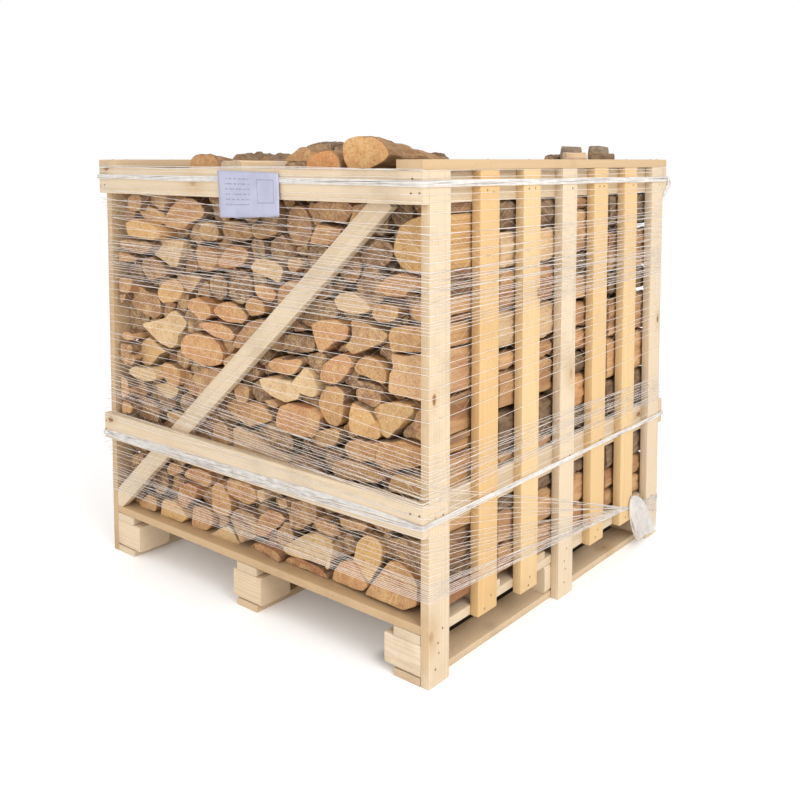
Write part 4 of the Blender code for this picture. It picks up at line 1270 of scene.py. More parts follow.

# %% [markdown]
# A row is laid in four passes: the stack at its right side, the drawn logs, the logs that fill the room
# between them, and the round ones on top. Every log has its own seed, made from the row's and its number.
# No log lies flush with the next: each is pushed in by an amount of its own, and dark ones, which lie in
# shade, the most. Their dark tint is partly the alder's own colour and partly painted shade, and the dark
# tints of the front row's fillers are painted shade.

# %% One row
LAST_ROW_REACH = 0.014
OVER_BACK_BRACE = 0.30
CORNER_FRONT, CORNER_LEAN, CORNER_STARTS = 0.0285, 0.25, 0.046
SHORTER_THAN_ROW = 0.016
# Painted shade: the sides of the front row's logs at the right are darkened by this much.
PAINTED_FLANK_SHADE = 0.84
# The front row's fillers are mostly dark: painted shade in the gaps between the drawn ends.
SHADED_FRONT_FILLERS, OTHER_FILLERS = ["dark", "dark", "brown"], ["brown", "tan", "grey", "dark"]
STACK_RECESS, TOP_RECESS = (0.002, 0.012), (0.0, 0.016)
END_RECESS, DARK_RECESS, FILLER_RECESS = (0.0, 0.012), (0.012, 0.026), (0.012, 0.030)
UPWARD = math.pi / 2
SEEDS_OF_A_ROW, FILLER_SEEDS, TOP_SEEDS, STACK_SEEDS = 1000, 500, 800, 900


def reach_back(node, outline):
    """The last row's logs at the right nearly touch the rear rails, above the foot of the rear brace."""
    clear = min(z for x, z in outline) > OVER_BACK_BRACE
    return LAST_ROW_REACH if node == "log_row_back" and at_the_right(outline) and clear else 0.0


def lay_stack(pile, stack, node, front, length, rng, seed, forward, seen):
    for number, (tint, outline) in enumerate(stack):
        recess = rng.uniform(*STACK_RECESS)
        at = front + recess if forward else front + recess * 0.5
        barked = tint in ("dark", "grey")
        side, reach = (0.0, 1.6) if barked else (math.pi, 0.6)
        pile.log(outline, at, length - recess - 0.006 + reach_back(node, outline), tint, seed + number,
                 sections=14, bark_side=side, bark_reach=reach, lean=0.3, lumps=STACK_LUMPS, seen=seen)


def build_row(node, mirrored, turned, seed, top, forward, extras=()):
    """forward: the logs are lined up at the row's front, or else at its back."""
    low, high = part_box(node)
    front, length = low[1] - FRONT, high[1] - low[1]
    rng = random.Random(seed)
    seeds = seed * SEEDS_OF_A_ROW
    pile = LogPile(node.replace("log_row", "logs_row"))
    first = node == "log_row_front"
    seen = (first, node == "log_row_back")
    stack = stack_outlines(SIDE_STACKS.get(node, []), seed)
    lay_stack(pile, stack, node, front, length, rng, seeds + STACK_SEEDS, forward, seen)
    for number, (tint, points) in enumerate(DRAWN):
        recess = rng.uniform(*(DARK_RECESS if tint == "dark" else END_RECESS))
        cut = length - SHORTER_THAN_ROW + rng.uniform(-0.006, 0.004)
        at = front + recess if forward else front + length - recess - cut
        lean = 1.0
        if first:
            if min(x for x, z in points) < CORNER_STARTS:
                at, lean = CORNER_FRONT, CORNER_LEAN
            points = kept_inside(moved_to_depth(points, at))
        outline = beside_stack(arranged(kept_inside(points), mirrored, turned), stack)
        if outline is None:
            continue
        flank = PAINTED_FLANK_SHADE if first and at_the_right(outline) else 1.0
        pile.log(outline, at, cut + reach_back(node, outline), tint, seeds + number, sections=5,
                 bark_side=turned_inward(outline, rng), lean=lean, flank=flank, seen=seen)
    for number, (size, points) in enumerate(FILLED + SLIVERS):
        recess = rng.uniform(*FILLER_RECESS) + clamp(0.020 - size, 0.0, 0.014) * 1.6
        tint = rng.choice(SHADED_FRONT_FILLERS if first else OTHER_FILLERS)
        at = front + recess if forward else front + recess * 0.3
        outline = beside_stack(arranged(points, mirrored, turned), stack)
        if outline is None:
            continue
        pile.log(outline, at, length - recess * 1.3 + reach_back(node, outline), tint,
                 seeds + FILLER_SEEDS + number, sections=3, bark_side=turned_inward(outline, rng), seen=seen)
    for number, (tint, points) in enumerate(top_layer(seed, top)):
        recess = rng.uniform(*TOP_RECESS)
        pile.log(points, front + recess, length - recess - 0.012, tint, seeds + TOP_SEEDS + number,
                 sections=9, bark_side=UPWARD, bark_reach=1.0)
    for extra in extras:
        pile.log(**extra)
    pile.finish("alder", node)


print("a row is laid from", len(DRAWN), "drawn logs and", len(FILLED) + len(SLIVERS), "that fill its gaps")

# %% [markdown]
# A few short logs and chunks lie loose on the rows, most of them in their bark. Each is one line of
# measures: its outline, where its front end is, its length, its tint and its seed.

# %% The four rows and what lies loose on them
BARK_UP = dict(bark_side=1.6, bark_reach=2.0)
ROUGH_CHUNK = dict(BARK_UP, tint="grey", lumps=0.012)
ROUND_CHUNK = dict(BARK_UP, tint="grey", sections=12, lumps=0.010)
HALF_ROUND_STEPS = 8


def half_round(left, width, low, height):
    """The outline of a log that lies with its round side up."""
    made = []
    for i in range(HALF_ROUND_STEPS + 1):
        turn = math.pi * i / HALF_ROUND_STEPS
        made.append((left + width * (0.5 - 0.5 * math.cos(turn)), low + height * math.sin(turn) ** 0.72))
    return made


FRONT_ROW_LOOSE = [
    dict(outline=corners(463, 1069, 462.5, 1098, 468, 1106, 530, 1107, 538, 1101, 538, 1069), front=0.046,
         length=0.235, tint="weathered", seed=44, sections=7, bark_side=-1.6, bark_reach=0.5, lean=0.4),
    dict(BARK_UP, outline=corners(667, 1069, 664, 1092, 680, 1104, 735, 1106, 752, 1098, 755, 1069),
         front=0.066, length=0.180, tint="dark", seed=49, lean=0.4),
]
SECOND_ROW_LOOSE = [
    dict(ROUGH_CHUNK, front=0.325, length=0.150, seed=41, sections=14,
         outline=corners(475, 1062, 472, 1146, 492, 1153, 535, 1156, 571, 1155.5, 579, 1148, 580, 1062)),
    dict(ROUGH_CHUNK, front=0.330, length=0.200, seed=50, sections=16,
         outline=corners(583, 1062, 583, 1150, 610, 1150, 628, 1138, 640, 1120, 642, 1062)),
    dict(ROUND_CHUNK, outline=half_round(0.149, 0.105, 1.062, 0.067), front=0.335, length=0.105, seed=42),
    dict(ROUND_CHUNK, outline=half_round(0.257, 0.080, 1.062, 0.063), front=0.345, length=0.095, seed=43),
    dict(outline=half_round(0.748, 0.056, 1.082, 0.045), front=0.500, length=0.055, tint="dark", seed=45,
         sections=8, bark_side=1.6, bark_reach=1.6, lumps=0.010),
]
build_row("log_row_front", False, False, 11, 1.066, True, FRONT_ROW_LOOSE)
build_row("log_row_second", True, False, 12, 1.078, True, SECOND_ROW_LOOSE)
build_row("log_row_third", False, True, 13, 1.074, False)
build_row("log_row_back", True, False, 14, 1.080, False)

# %% [markdown]
# ## Logs and offcuts on top
#
# Four logs were thrown on last and stand above the front rail, so their ends are drawn too: a tint, the way
# that the bark faces and how far round it goes, how far the log droops to the back, and its corners.

# %% Logs on top of the stack
TOP_LOG_ENDS = {
    "top_log_1": ("orange", 0.9, 2.0, 0.75, corners(
        322, 1069, 323, 1086, 328, 1108, 344, 1119, 368, 1125, 420, 1125, 439, 1116, 449, 1101, 451, 1086,
        450, 1069)),
    "top_log_2": ("orange", 1.6, 1.4, 0.45, corners(
        656, 1104, 655, 1110, 669, 1121, 684, 1126, 696, 1135, 708, 1139, 738, 1139, 747, 1130, 748, 1104)),
    "top_log_3": ("fresh", 0.8, 1.4, 0.50, corners(
        757, 1070, 756, 1109, 768, 1115, 791, 1126, 806, 1130, 842, 1131, 850, 1123, 859, 1115, 864, 1105,
        867, 1070)),
    "top_log_4": ("amber", 0.2, 2.4, 0.50, corners(
        873, 1131, 876, 1146, 888, 1154, 904, 1159, 942, 1161, 968, 1160, 985, 1153, 996, 1146, 1008, 1134,
        1014, 1123, 1013, 1117, 1001, 1107, 985, 1098, 967, 1091, 930, 1072, 900, 1072, 888, 1091,
        876, 1108)),
}
INSIDE_SOLID = 0.002
for number, (node, (tint, bark_side, reach, droop, outline)) in enumerate(TOP_LOG_ENDS.items()):
    low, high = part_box(node)
    pile = LogPile(node + "_wood")
    pile.log(outline, low[1] - FRONT + INSIDE_SOLID, high[1] - low[1] - 2 * INSIDE_SOLID, tint, 300 + number,
             sections=24, bark_side=bark_side, bark_reach=reach, lean=0.2, droop=droop, lumps=0.007)
    pile.finish("alder", node)

# %% [markdown]
# The two offcuts by the right cap board are short chunks that stand on end, so their bark shows its
# fissures upright. A ring of points goes round, pushed in and out by noise that changes quickly round the
# chunk and slowly up it.

# %% Offcuts on top of the stack
CHUNK_POINTS, CHUNK_LEVELS = 44, 9
GROOVE_DEPTH, LUMP_DEPTH = 0.05, 0.16
CHUNK_FILL, CHUNK_LIMIT = 0.84, 1.19
BARE_SHARE = 0.1


def chunk(pile, low, high, seed):
    """A ragged chunk between two corners of a box, in metres of the crate, a little barer at the front."""
    middle, half = (low + high) / 2, (high - low) / 2
    shade = list(TINTS["weathered"])
    rings = []
    for j in range(CHUNK_LEVELS):
        up = j / (CHUNK_LEVELS - 1)
        ring = []
        for i in range(CHUNK_POINTS):
            turn = 2 * math.pi * i / CHUNK_POINTS
            square = max(abs(math.cos(turn)), abs(math.sin(turn))) ** -0.72
            groove = GROOVE_DEPTH * noise.noise(Vector((i * 0.6, up * 5.0, seed)))
            lumps = LUMP_DEPTH * noise.noise(Vector((i * 0.23, up * 3.4, seed + 7)))
            taper = 1 - 0.10 * max(0.0, up - 0.7) / 0.3
            reach = CHUNK_FILL * min(square + groove + lumps, CHUNK_LIMIT) * taper
            x, y = reach * math.cos(turn), reach * math.sin(turn)
            ragged = 0.5 + 0.5 * noise.noise(Vector((x * 2.2, y * 2.2, seed + 3)))
            z = low.z + (high.z - low.z) * up * (1 - 0.20 * ragged * up - 0.06 * (1 - abs(x)) * up)
            bare = clamp(-y * 2.2 - 0.4, 0, 1) * BARE_SHARE
            at = place(middle.x + half.x * x, middle.y + half.y * y, z)
            ring.append(pile.point(at, [z * 3.0, turn * 0.02, reach * 0.02], shade, 1.0 - bare))
        rings.append(ring)
    pile.sew(rings, 1)
    for ring, z in ((rings[0], low.z), (rings[-1], high.z - 0.006)):
        heart = pile.point(place(middle.x, middle.y, z), [z, 0.0, 0.0], shade, 1.0)
        for a, b in zip(ring, ring[1:] + ring[:1]):
            pile.bm.faces.new((heart, a, b)).material_index = 1


BESIDE_OFFCUTS = {
    "offcut_1": [
        dict(BARK_UP, outline=corners(958, 1074, 959, 1118, 972, 1125, 990, 1122, 992, 1074), front=0.755,
             length=0.085, tint="grey", seed=46, lumps=0.006),
        dict(outline=corners(1051, 1074, 1051, 1126, 1057, 1131, 1066, 1129, 1068, 1074), front=0.702,
             length=0.105, tint="weathered", seed=47, bark_side=-1.6, bark_reach=0.2),
    ],
    "offcut_2": [
        dict(outline=corners(1053, 1074, 1053, 1125, 1060, 1132, 1067, 1127, 1068, 1074), front=0.845,
             length=0.112, tint="grey", seed=48, bark_side=0.8, bark_reach=2.4, lumps=0.005),
    ],
}
OFFCUT_SPREAD = Vector((0.004, 0.002, 0.009))
for number, node in enumerate(("offcut_1", "offcut_2")):
    low, high = (Vector(v) - place(0, 0, 0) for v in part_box(node))
    pile = LogPile(node + "_wood")
    widened = low - Vector((OFFCUT_SPREAD.x, OFFCUT_SPREAD.y, -0.0005))
    chunk(pile, widened, high + OFFCUT_SPREAD, 60 + number)
    for piece in BESIDE_OFFCUTS[node]:
        pile.log(**piece)
    pile.finish("bark", node)

# %% [markdown]
# ## How the net lies
#
# Pallet net is knitted: long yarns run round the load, and thin threads zigzag between them. Under tension
# the long yarns are straight from corner to corner, so a yarn is described by its heights at the four
# upright edges. It stands off the front only where it has to clear a rail.

# %% A place on the net
STAND_OFF = 0.0013
POST_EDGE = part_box("post_left_front")[0][1] - FRONT
RAIL_SPANS = [(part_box(n)[0][2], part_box(n)[1][2]) for n in ("top_rail_front", "middle_rail_front")]
RAIL_LEAD = 0.070


def net_depth(z):
    """How far behind the rails' faces the net lies at a height: on a rail, or back on the posts' edges."""
    nearest = min(max(low - z, z - high, 0.0) for low, high in RAIL_SPANS)
    share = clamp(nearest / RAIL_LEAD, 0.0, 1.0)
    return -STAND_OFF + (POST_EDGE - STAND_OFF / 2) * share * share * (3 - 2 * share)


def net_point(heights, turn, wobble=0.0, seed=0.0, lift=0.0):
    """turn: 0 at the left front edge, 1 right front, 2 right back, 3 left back, 4 again left front."""
    side = int(turn) % 4
    share = turn - int(turn)
    z = heights[side] * (1 - share) + heights[(side + 1) % 4] * share
    z += wobble * noise.noise(Vector((turn * 2.3, seed, 0))) * math.sin(math.pi * share) * 4
    low_x, high_x = -STAND_OFF - lift, WIDTH + STAND_OFF + lift
    low_y, high_y = net_depth(z) - lift, DEPTH - net_depth(z) + lift
    x = (low_x + (high_x - low_x) * share, high_x, high_x + (low_x - high_x) * share, low_x)[side]
    y = (low_y, low_y + (high_y - low_y) * share, high_y, high_y + (low_y - high_y) * share)[side]
    return place(x, y, z)


print(f"net stands {STAND_OFF * 1000:.1f} mm off the boards")

# %% [markdown]
# Each bundle of yarns is given by a count and by its first and last yarn, as heights at the four edges. The
# yarns between are spread evenly, then nudged, because no wrapping machine lays them quite level. Where a
# height is left open, the yarn heads for the spot where the lowest ones are bunched. A few yarns run double
# and show brighter, and two of those lie on the front alone.

# %% Bundles of yarns
YARN_BUNDLES = {
    "over_top_rail": (2, (1.079, 1.074, 1.074, 1.078), (1.092, 1.086, 1.082, 1.090)),
    "under_top_band": (15, (1.040, 1.036, 1.030, 1.036), (0.770, 0.765, 0.775, 0.780)),
    "upper_slopes": (6, (1.030, 0.955, 0.960, 1.000), (0.930, 0.850, 0.880, 0.900)),
    "upper_wraps": (13, (0.900, 0.880, 0.860, 0.870), (0.775, 0.760, 0.780, 0.790)),
    "middle": (9, (0.745, 0.748, 0.765, 0.750), (0.560, 0.575, 0.610, 0.590)),
    "sloping_wraps": (11, (0.560, 0.500, 0.470, 0.520), (0.450, 0.395, 0.400, 0.430)),
    "above_middle_rail": (4, (0.500, 0.470, 0.480, 0.500), (0.400, 0.375, 0.380, 0.395)),
    "top_of_the_fan": (5, (0.470, 0.436, None, 0.400), (0.390, 0.352, None, 0.262)),
    "below_middle_rail": (9, (0.330, 0.334, None, 0.300), (0.215, 0.232, None, 0.200)),
    "lowest_wraps": (9, (0.240, 0.226, None, 0.210), (0.178, 0.190, None, 0.175)),
}
GATHER_DEPTH, GATHER_HEIGHT = 0.943, 0.128


def through_gather(front_height):
    """Height at the right rear edge of a yarn that passes the spot where the lowest yarns are bunched."""
    return front_height + (GATHER_HEIGHT - front_height) * DEPTH / GATHER_DEPTH


BRIGHT_YARNS = [
    (0.628, 0.520, 0.560, 0.600), (0.500, 0.445, through_gather(0.445), 0.470),
    (0.880, 0.838, 0.840, 0.860), (0.176, 0.188, through_gather(0.188), 0.172),
]
FRONT_YARNS = [(1.0888, 1.0883), (1.0906, 1.0902)]
BUNDLE_NUDGE, EDGE_NUDGE, GATHER_NUDGE = 0.22, 0.18, 0.003
rng = random.Random(21)
yarns = []
pairs = []
for count, first, last in YARN_BUNDLES.values():
    spacing = abs(last[1] - first[1]) / (count - 1)
    for i in range(count):
        share = i / (count - 1)
        nudge = rng.uniform(-BUNDLE_NUDGE, BUNDLE_NUDGE) * spacing
        heights = [None if a is None
                   else a + (b - a) * share + nudge + rng.uniform(-EDGE_NUDGE, EDGE_NUDGE) * spacing
                   for a, b in zip(first, last)]
        if heights[2] is None:
            heights[2] = through_gather(heights[1]) + rng.uniform(-GATHER_NUDGE, GATHER_NUDGE)
        yarns.append((heights, rng.uniform(0, 90)))
        if i:
            pairs.append((len(yarns) - 2, len(yarns) - 1))
print(len(yarns), "yarns in", len(YARN_BUNDLES), "bundles")

# %% [markdown]
# ## From paths to yarns
#
# The paths are plain polylines. A Geometry Nodes tree turns them all into tubes at once: it sweeps a small
# circle along each, with named inputs for the thickness and the number of sides.

# %% The yarn tree
def shape_tree(name, inputs):
    """An empty Geometry Nodes tree with named inputs, its wiring, and the sockets that it takes from."""
    tree = bpy.data.node_groups.new(name, "GeometryNodeTree")
    for label, kind in (("Geometry", "Geometry"), *inputs, ("Finish", "Material")):
        tree.interface.new_socket(name=label, in_out="INPUT", socket_type="NodeSocket" + kind)
    tree.interface.new_socket(name="Geometry", in_out="OUTPUT", socket_type="NodeSocketGeometry")
    return Wiring(tree, "GeometryNode"), tree.nodes.new("NodeGroupInput").outputs


def end_tree(w, take, shape):
    """Makes the instances real, sets the finish and gives the shape out."""
    solid = w.node("RealizeInstances", {"Geometry": shape})
    finished = w.node("SetMaterial", {"Geometry": solid.outputs["Geometry"], "Material": take["Finish"]})
    give = w.tree.nodes.new("NodeGroupOutput").inputs
    w.tree.links.new(finished.outputs["Geometry"], give["Geometry"])
    return w.tree


def yarn_tree():
    w, take = shape_tree("yarns from paths", [("Yarn radius", "Float"), ("Sides", "Int")])
    circle = w.node("CurvePrimitiveCircle", {"Resolution": take["Sides"], "Radius": take["Yarn radius"]})
    sweep = w.node("CurveToMesh", {"Curve": take["Geometry"], "Profile Curve": circle.outputs["Curve"],
                                   "Fill Caps": True})
    smooth = w.node("SetShadeSmooth", {"Geometry": sweep.outputs["Mesh"]})
    return end_tree(w, take, smooth.outputs["Geometry"])


def run_tree(name, source, tree, **values):
    """Runs a Geometry Nodes tree on an object and keeps the result as a plain mesh in a new object."""
    modifier = source.modifiers.new("shape", "NODES")
    modifier.node_group = tree
    wanted = {key.replace("_", " "): value for key, value in values.items()}
    for item in tree.interface.items_tree:
        if item.in_out == "INPUT" and item.name in wanted:
            modifier[item.identifier] = wanted[item.name]
    bpy.context.view_layer.update()
    evaluated = source.evaluated_get(bpy.context.evaluated_depsgraph_get())
    mesh = bpy.data.meshes.new_from_object(evaluated)
    mesh.name = name
    bpy.data.objects.remove(source, do_unlink=True)
    piece = new_piece(name, mesh)
    print(f"{name}: {sum(len(p.vertices) - 2 for p in mesh.polygons)} triangles")
    return piece


def path_curves(name, paths, thickness=None):
    """A curve object with one poly spline for each path, of one thickness or one for each of its points."""
    data = bpy.data.curves.new(name, "CURVE")
    data.dimensions = "3D"
    for number, path in enumerate(paths):
        spline = data.splines.new("POLY")
        spline.points.add(len(path) - 1)
        radii = 1.0 if thickness is None else thickness[number]
        for k, (point, at) in enumerate(zip(spline.points, path)):
            point.co = (*at, 1.0)
            point.radius = radii[k] if isinstance(radii, list) else radii
    made = bpy.data.objects.new(name, data)
    bpy.context.scene.collection.objects.link(made)
    return made


YARN_TREE = yarn_tree()


def yarns_piece(name, paths, radius, sides, thickness=None, nodes=()):
    source = path_curves(name + "_paths", paths, thickness)
    piece = run_tree(name, source, YARN_TREE, Yarn_radius=radius, Sides=sides, Finish=NET_YARN)
    settle(piece, "net", *nodes)
    return piece


# %% Yarns round the crate
SIDE_STEPS = 30
YARN_RADIUS = 0.00052
YARN_SIDES = 4
YARN_WOBBLE = 0.0018
THINNEST, THICKEST, DOUBLED = 0.8, 1.25, 2.0
NEARLY_ROUND = 4 - 1e-4
BRIGHT_SEEDS, FRONT_SEEDS = 100, 120
paths = []
thickness = []
round_turns = [k / SIDE_STEPS for k in range(4 * SIDE_STEPS)] + [NEARLY_ROUND]
front_turns = [k / SIDE_STEPS for k in range(SIDE_STEPS + 1)]
for heights, seed in yarns:
    paths.append([net_point(heights, turn, YARN_WOBBLE, seed) for turn in round_turns])
    thickness.append(rng.uniform(THINNEST, THICKEST))
for number, heights in enumerate(BRIGHT_YARNS):
    paths.append([net_point(heights, turn, YARN_WOBBLE, BRIGHT_SEEDS + number) for turn in round_turns])
    thickness.append(DOUBLED)
for number, (left, right) in enumerate(FRONT_YARNS):
    heights = (left, right, right, left)
    paths.append([net_point(heights, turn, YARN_WOBBLE, FRONT_SEEDS + number) for turn in front_turns])
    thickness.append(DOUBLED)
yarns_piece("net_yarns", paths, YARN_RADIUS, YARN_SIDES, thickness)

# %% [markdown]
# The zigzag threads are finer, and so slack that they are hardly seen on wood. They jump from one yarn to
# the next and back every few centimetres.

# %% Zigzag threads
THREAD_RADIUS = 0.00020
THREAD_SIDES = 3
THREAD_LIFT = 0.0002
ZIGZAG_PITCH = 0.038
count = int(2 * (WIDTH + DEPTH) / ZIGZAG_PITCH)
paths = []
for one, two in pairs:
    offset = rng.uniform(0, 1)
    path = []
    for k in range(count):
        turn = 4 * (k + offset + rng.uniform(-0.12, 0.12)) / (count + 1)
        heights, seed = yarns[(one, two)[k % 2]]
        path.append(net_point(heights, clamp(turn, 0, NEARLY_ROUND), YARN_WOBBLE, seed, THREAD_LIFT))
    paths.append(path)
yarns_piece("net_threads", paths, THREAD_RADIUS, THREAD_SIDES)

# %% [markdown]
# ## Gathered bands
#
# Where the machine started and stopped, the whole width of net was pulled together into a band as thick as
# a finger. A band is a few dozen yarns that wind about each other as they go round.

# %% The top band
BAND_YARN_RADIUS = 0.00085
BAND_WOBBLE = 0.0008
CORE_THICKNESS = 2.2
CORE_DROPS = (-0.0032, 0.0, 0.0032)
FRONT_FLATTER, FRONT_THINNER = 0.8, 0.62
TOP_BAND_HEIGHTS = (1.064, 1.061, 1.053, 1.060)
MIDDLE_BAND_HEIGHTS = (0.345, 0.356, 0.357, 0.350)


def band_paths(heights, count, half_height, bulk, seed, front_spread=0.0):
    """Yarns that wind about each other; on the front they may lie wider, flatter and thinner."""
    rng = random.Random(seed)
    made = []
    slimming = []
    for i in range(count):
        phase = 2 * math.pi * i / count
        spin = rng.uniform(1.2, 2.6)
        near = rng.uniform(0.5, 1.0)
        path = []
        slim = []
        for k in range(4 * SIDE_STEPS * 2 + 1):
            turn = min(k / (2 * SIDE_STEPS), NEARLY_ROUND)
            angle = phase + spin * turn * 2 + 1.5 * noise.noise(Vector((turn * 1.7, i, seed)))
            wide = front_spread * math.sin(math.pi * min(turn, 1.0)) ** 0.5
            drop = half_height * near * math.sin(angle) * (1 + wide)
            out = bulk * (0.5 + 0.5 * math.cos(angle)) * (1 - FRONT_FLATTER * min(wide, 1.0))
            path.append(net_point([h + drop for h in heights], turn, BAND_WOBBLE, seed + i, out))
            slim.append(1 - FRONT_THINNER * min(wide, 1.0))
        made.append(path)
        slimming.append(slim)
    return made, slimming


def core_paths(heights, out, first_turn=0.0):
    """Three thick strands that fill a band from behind, so that no wood shows between its yarns."""
    steps = range(round(first_turn * SIDE_STEPS), 4 * SIDE_STEPS + 1)
    turns = [min(k / SIDE_STEPS, NEARLY_ROUND) for k in steps]
    return [[net_point([h + drop for h in heights], turn, BAND_WOBBLE, 5.0, out) for turn in turns]
            for drop in CORE_DROPS]


KNOT_STEPS = 24
KNOT_TOP, KNOT_HANG = 1.060, 0.064
KNOT_BULGE = 0.021


def knot_paths(count, seed):
    """Loops of slack net that bulge from the top band at the right rear edge and narrow downwards."""
    rng = random.Random(seed)
    made = []
    for i in range(count):
        reach = rng.uniform(0.3, 1.0)
        turn = rng.uniform(-0.5, 1.0)
        path = []
        for k in range(KNOT_STEPS + 1):
            share = k / KNOT_STEPS
            sag = 0.005 * noise.noise(Vector((share * 4, i, seed)))
            z = KNOT_TOP - KNOT_HANG * share * (0.75 + 0.25 * reach) + sag
            bulge = KNOT_BULGE * reach * math.sin(math.pi * share ** 0.6) ** 0.8
            x = WIDTH + STAND_OFF + 0.001 + bulge * math.sin(turn) * 0.5 - 0.004 * share
            y = DEPTH + STAND_OFF + bulge * math.cos(turn) - POST_EDGE * share ** 2
            path.append(place(x, y, z))
        made.append(path)
    return made


def band_piece(name, cores, band, others, node):
    paths, slimming = band
    thickness = [CORE_THICKNESS] * len(cores) + slimming + [1.0] * len(others)
    yarns_piece(name, cores + paths + others, BAND_YARN_RADIUS, YARN_SIDES, thickness, nodes=(node,))


band_piece("net_band_top", core_paths(TOP_BAND_HEIGHTS, 0.0008),
           band_paths(TOP_BAND_HEIGHTS, count=30, half_height=0.0066, bulk=0.0028, seed=3),
           knot_paths(90, 5), "net_top_band")

# %% [markdown]
# The loose end of the net hangs from the middle band at the right rear post: it is pulled down through the
# fan of the lowest yarns, bunched, and spread over the corner block as a limp white skirt.

# %% The loose end and the middle band
TAIL_LEFT_EDGE = corners(944, 150, 938, 134, 937, 105, 943, 77, 963, 40, 996, 18)
TAIL_RIGHT_EDGE = corners(950, 157, 988, 148, 1032, 118, 1074, 70, 1106, 34, 1114, 14)
TAIL_STEPS = 28


def along_edge(edge, share):
    """A point on a smooth curve through an edge's points."""
    at = share * (len(edge) - 1)
    k = min(int(at), len(edge) - 2)
    t = at - k
    before, after = edge[max(k - 1, 0)], edge[min(k + 2, len(edge) - 1)]
    made = []
    for axis in (0, 1):
        p0, p1, p2, p3 = before[axis], edge[k][axis], edge[k + 1][axis], after[axis]
        made.append(0.5 * (2 * p1 + (p2 - p0) * t + (2 * p0 - 5 * p1 + 4 * p2 - p3) * t * t
                           + (3 * p1 - p0 - 3 * p2 + p3) * t ** 3))
    return made


def tail_paths(count, seed):
    rng = random.Random(seed)
    made = []
    for i in range(count):
        across = clamp((i + rng.uniform(-0.4, 0.4)) / (count - 1), 0, 1) ** 0.55
        layer = rng.uniform(0.0, 1.0)
        begin = rng.choice((0.0, 0.0, 0.0, 0.15))
        stop = rng.uniform(0.93, 1.0)
        path = []
        for k in range(TAIL_STEPS + 1):
            share = begin + (stop - begin) * k / TAIL_STEPS
            left, right = along_edge(TAIL_LEFT_EDGE, share), along_edge(TAIL_RIGHT_EDGE, share)
            wave = 0.05 * noise.noise(Vector((share * 5, i * 0.7, seed)))
            mix = clamp(across + wave, 0, 1)
            y, z = (a * (1 - mix) + b * mix for a, b in zip(left, right))
            fold = math.sin(mix * 9 + 1.2) * 0.5 + 0.5
            out = STAND_OFF + 0.0012 + share * (0.001 + 0.006 * fold) + 0.0015 * layer
            path.append(place(WIDTH + out, y, max(z, 0.0015)))
        made.append(path)
    return made


band_piece("net_band_middle", core_paths(MIDDLE_BAND_HEIGHTS, 0.0006, first_turn=1.0),
           band_paths(MIDDLE_BAND_HEIGHTS, count=28, half_height=0.0058, bulk=0.0024, seed=4,
                      front_spread=1.5),
           tail_paths(170, 8), "net_middle_band")

# %% [markdown]
# ## The label
#
# A sheet of paper hangs on the front rail, over the top band. It has curled a little away from the wood
# towards its lower edge. The sheet has two faces and a rim, so it is a closed shell, as thick as card.

# %% Paper label
LABEL_LOW_LEFT, LABEL_LOW_RIGHT, LABEL_TOP_LEFT, LABEL_TOP_RIGHT = (
    Vector(at) for at in corners(527, 971, 735.5, 981, 511.5, 1084, 726, 1079.5))
LABEL_BEFORE_RAIL = 0.0058
LABEL_CURL, LABEL_RIPPLE, LABEL_SAG = 0.0055, 0.0018, 0.0016
LABEL_PAPER_THICK = 0.0004
LABEL_COLUMNS, LABEL_ROWS = 22, 12


def add_face(bm, uv, four):
    face = bm.faces.new([v for v, across, up in four])
    for loop, (v, across, up) in zip(face.loops, four):
        loop[uv].uv = (across, up)


def paper_label():
    bm = bmesh.new()
    uv = bm.loops.layers.uv.new("label")
    grid = []
    for side in (0, 1):
        sheet = []
        for j in range(LABEL_ROWS + 1):
            up = j / LABEL_ROWS
            row = []
            for i in range(LABEL_COLUMNS + 1):
                across = i / LABEL_COLUMNS
                low = LABEL_LOW_LEFT.lerp(LABEL_LOW_RIGHT, across)
                high = LABEL_TOP_LEFT.lerp(LABEL_TOP_RIGHT, across)
                at = low.lerp(high, up)
                ripple = LABEL_RIPPLE * math.sin(across * 7 + up * 2) * (1 - up)
                curl = LABEL_CURL * (1 - up) ** 2 + ripple
                y = -LABEL_BEFORE_RAIL - curl + side * LABEL_PAPER_THICK
                sag = LABEL_SAG * math.sin(across * math.pi) * (1 - up)
                row.append((bm.verts.new(place(at.x, y, at.y - sag)), across, up))
            sheet.append(row)
        grid.append(sheet)
    for side, sheet in enumerate(grid):
        for j in range(LABEL_ROWS):
            for i in range(LABEL_COLUMNS):
                four = [sheet[j][i], sheet[j][i + 1], sheet[j + 1][i + 1], sheet[j + 1][i]]
                add_face(bm, uv, four if side == 0 else four[::-1])
    front, back = grid
    for j in range(LABEL_ROWS):
        for i, flip in ((0, False), (LABEL_COLUMNS, True)):
            four = [front[j][i], front[j + 1][i], back[j + 1][i], back[j][i]]
            add_face(bm, uv, four[::-1] if flip else four)
    for i in range(LABEL_COLUMNS):
        for j, flip in ((0, True), (LABEL_ROWS, False)):
            four = [front[j][i], front[j][i + 1], back[j][i + 1], back[j][i]]
            add_face(bm, uv, four[::-1] if flip else four)
    bmesh.ops.recalc_face_normals(bm, faces=bm.faces)
    mesh = bpy.data.meshes.new("label_sheet")
    bm.to_mesh(mesh)
    bm.free()
    mesh.shade_smooth()
    mesh.materials.append(LABEL_PAPER)
    settle(new_piece("label_sheet", mesh), "paper", "paper_label")


paper_label()
print("label hung")

# %% [markdown]
# ## Nails
#
# Every joint is nailed, usually twice, and the heads show as small dark dots. One head is modelled as a low
# disc that narrows to its face, and Geometry Nodes places a copy on each marked spot, turned to face out of
# its board.

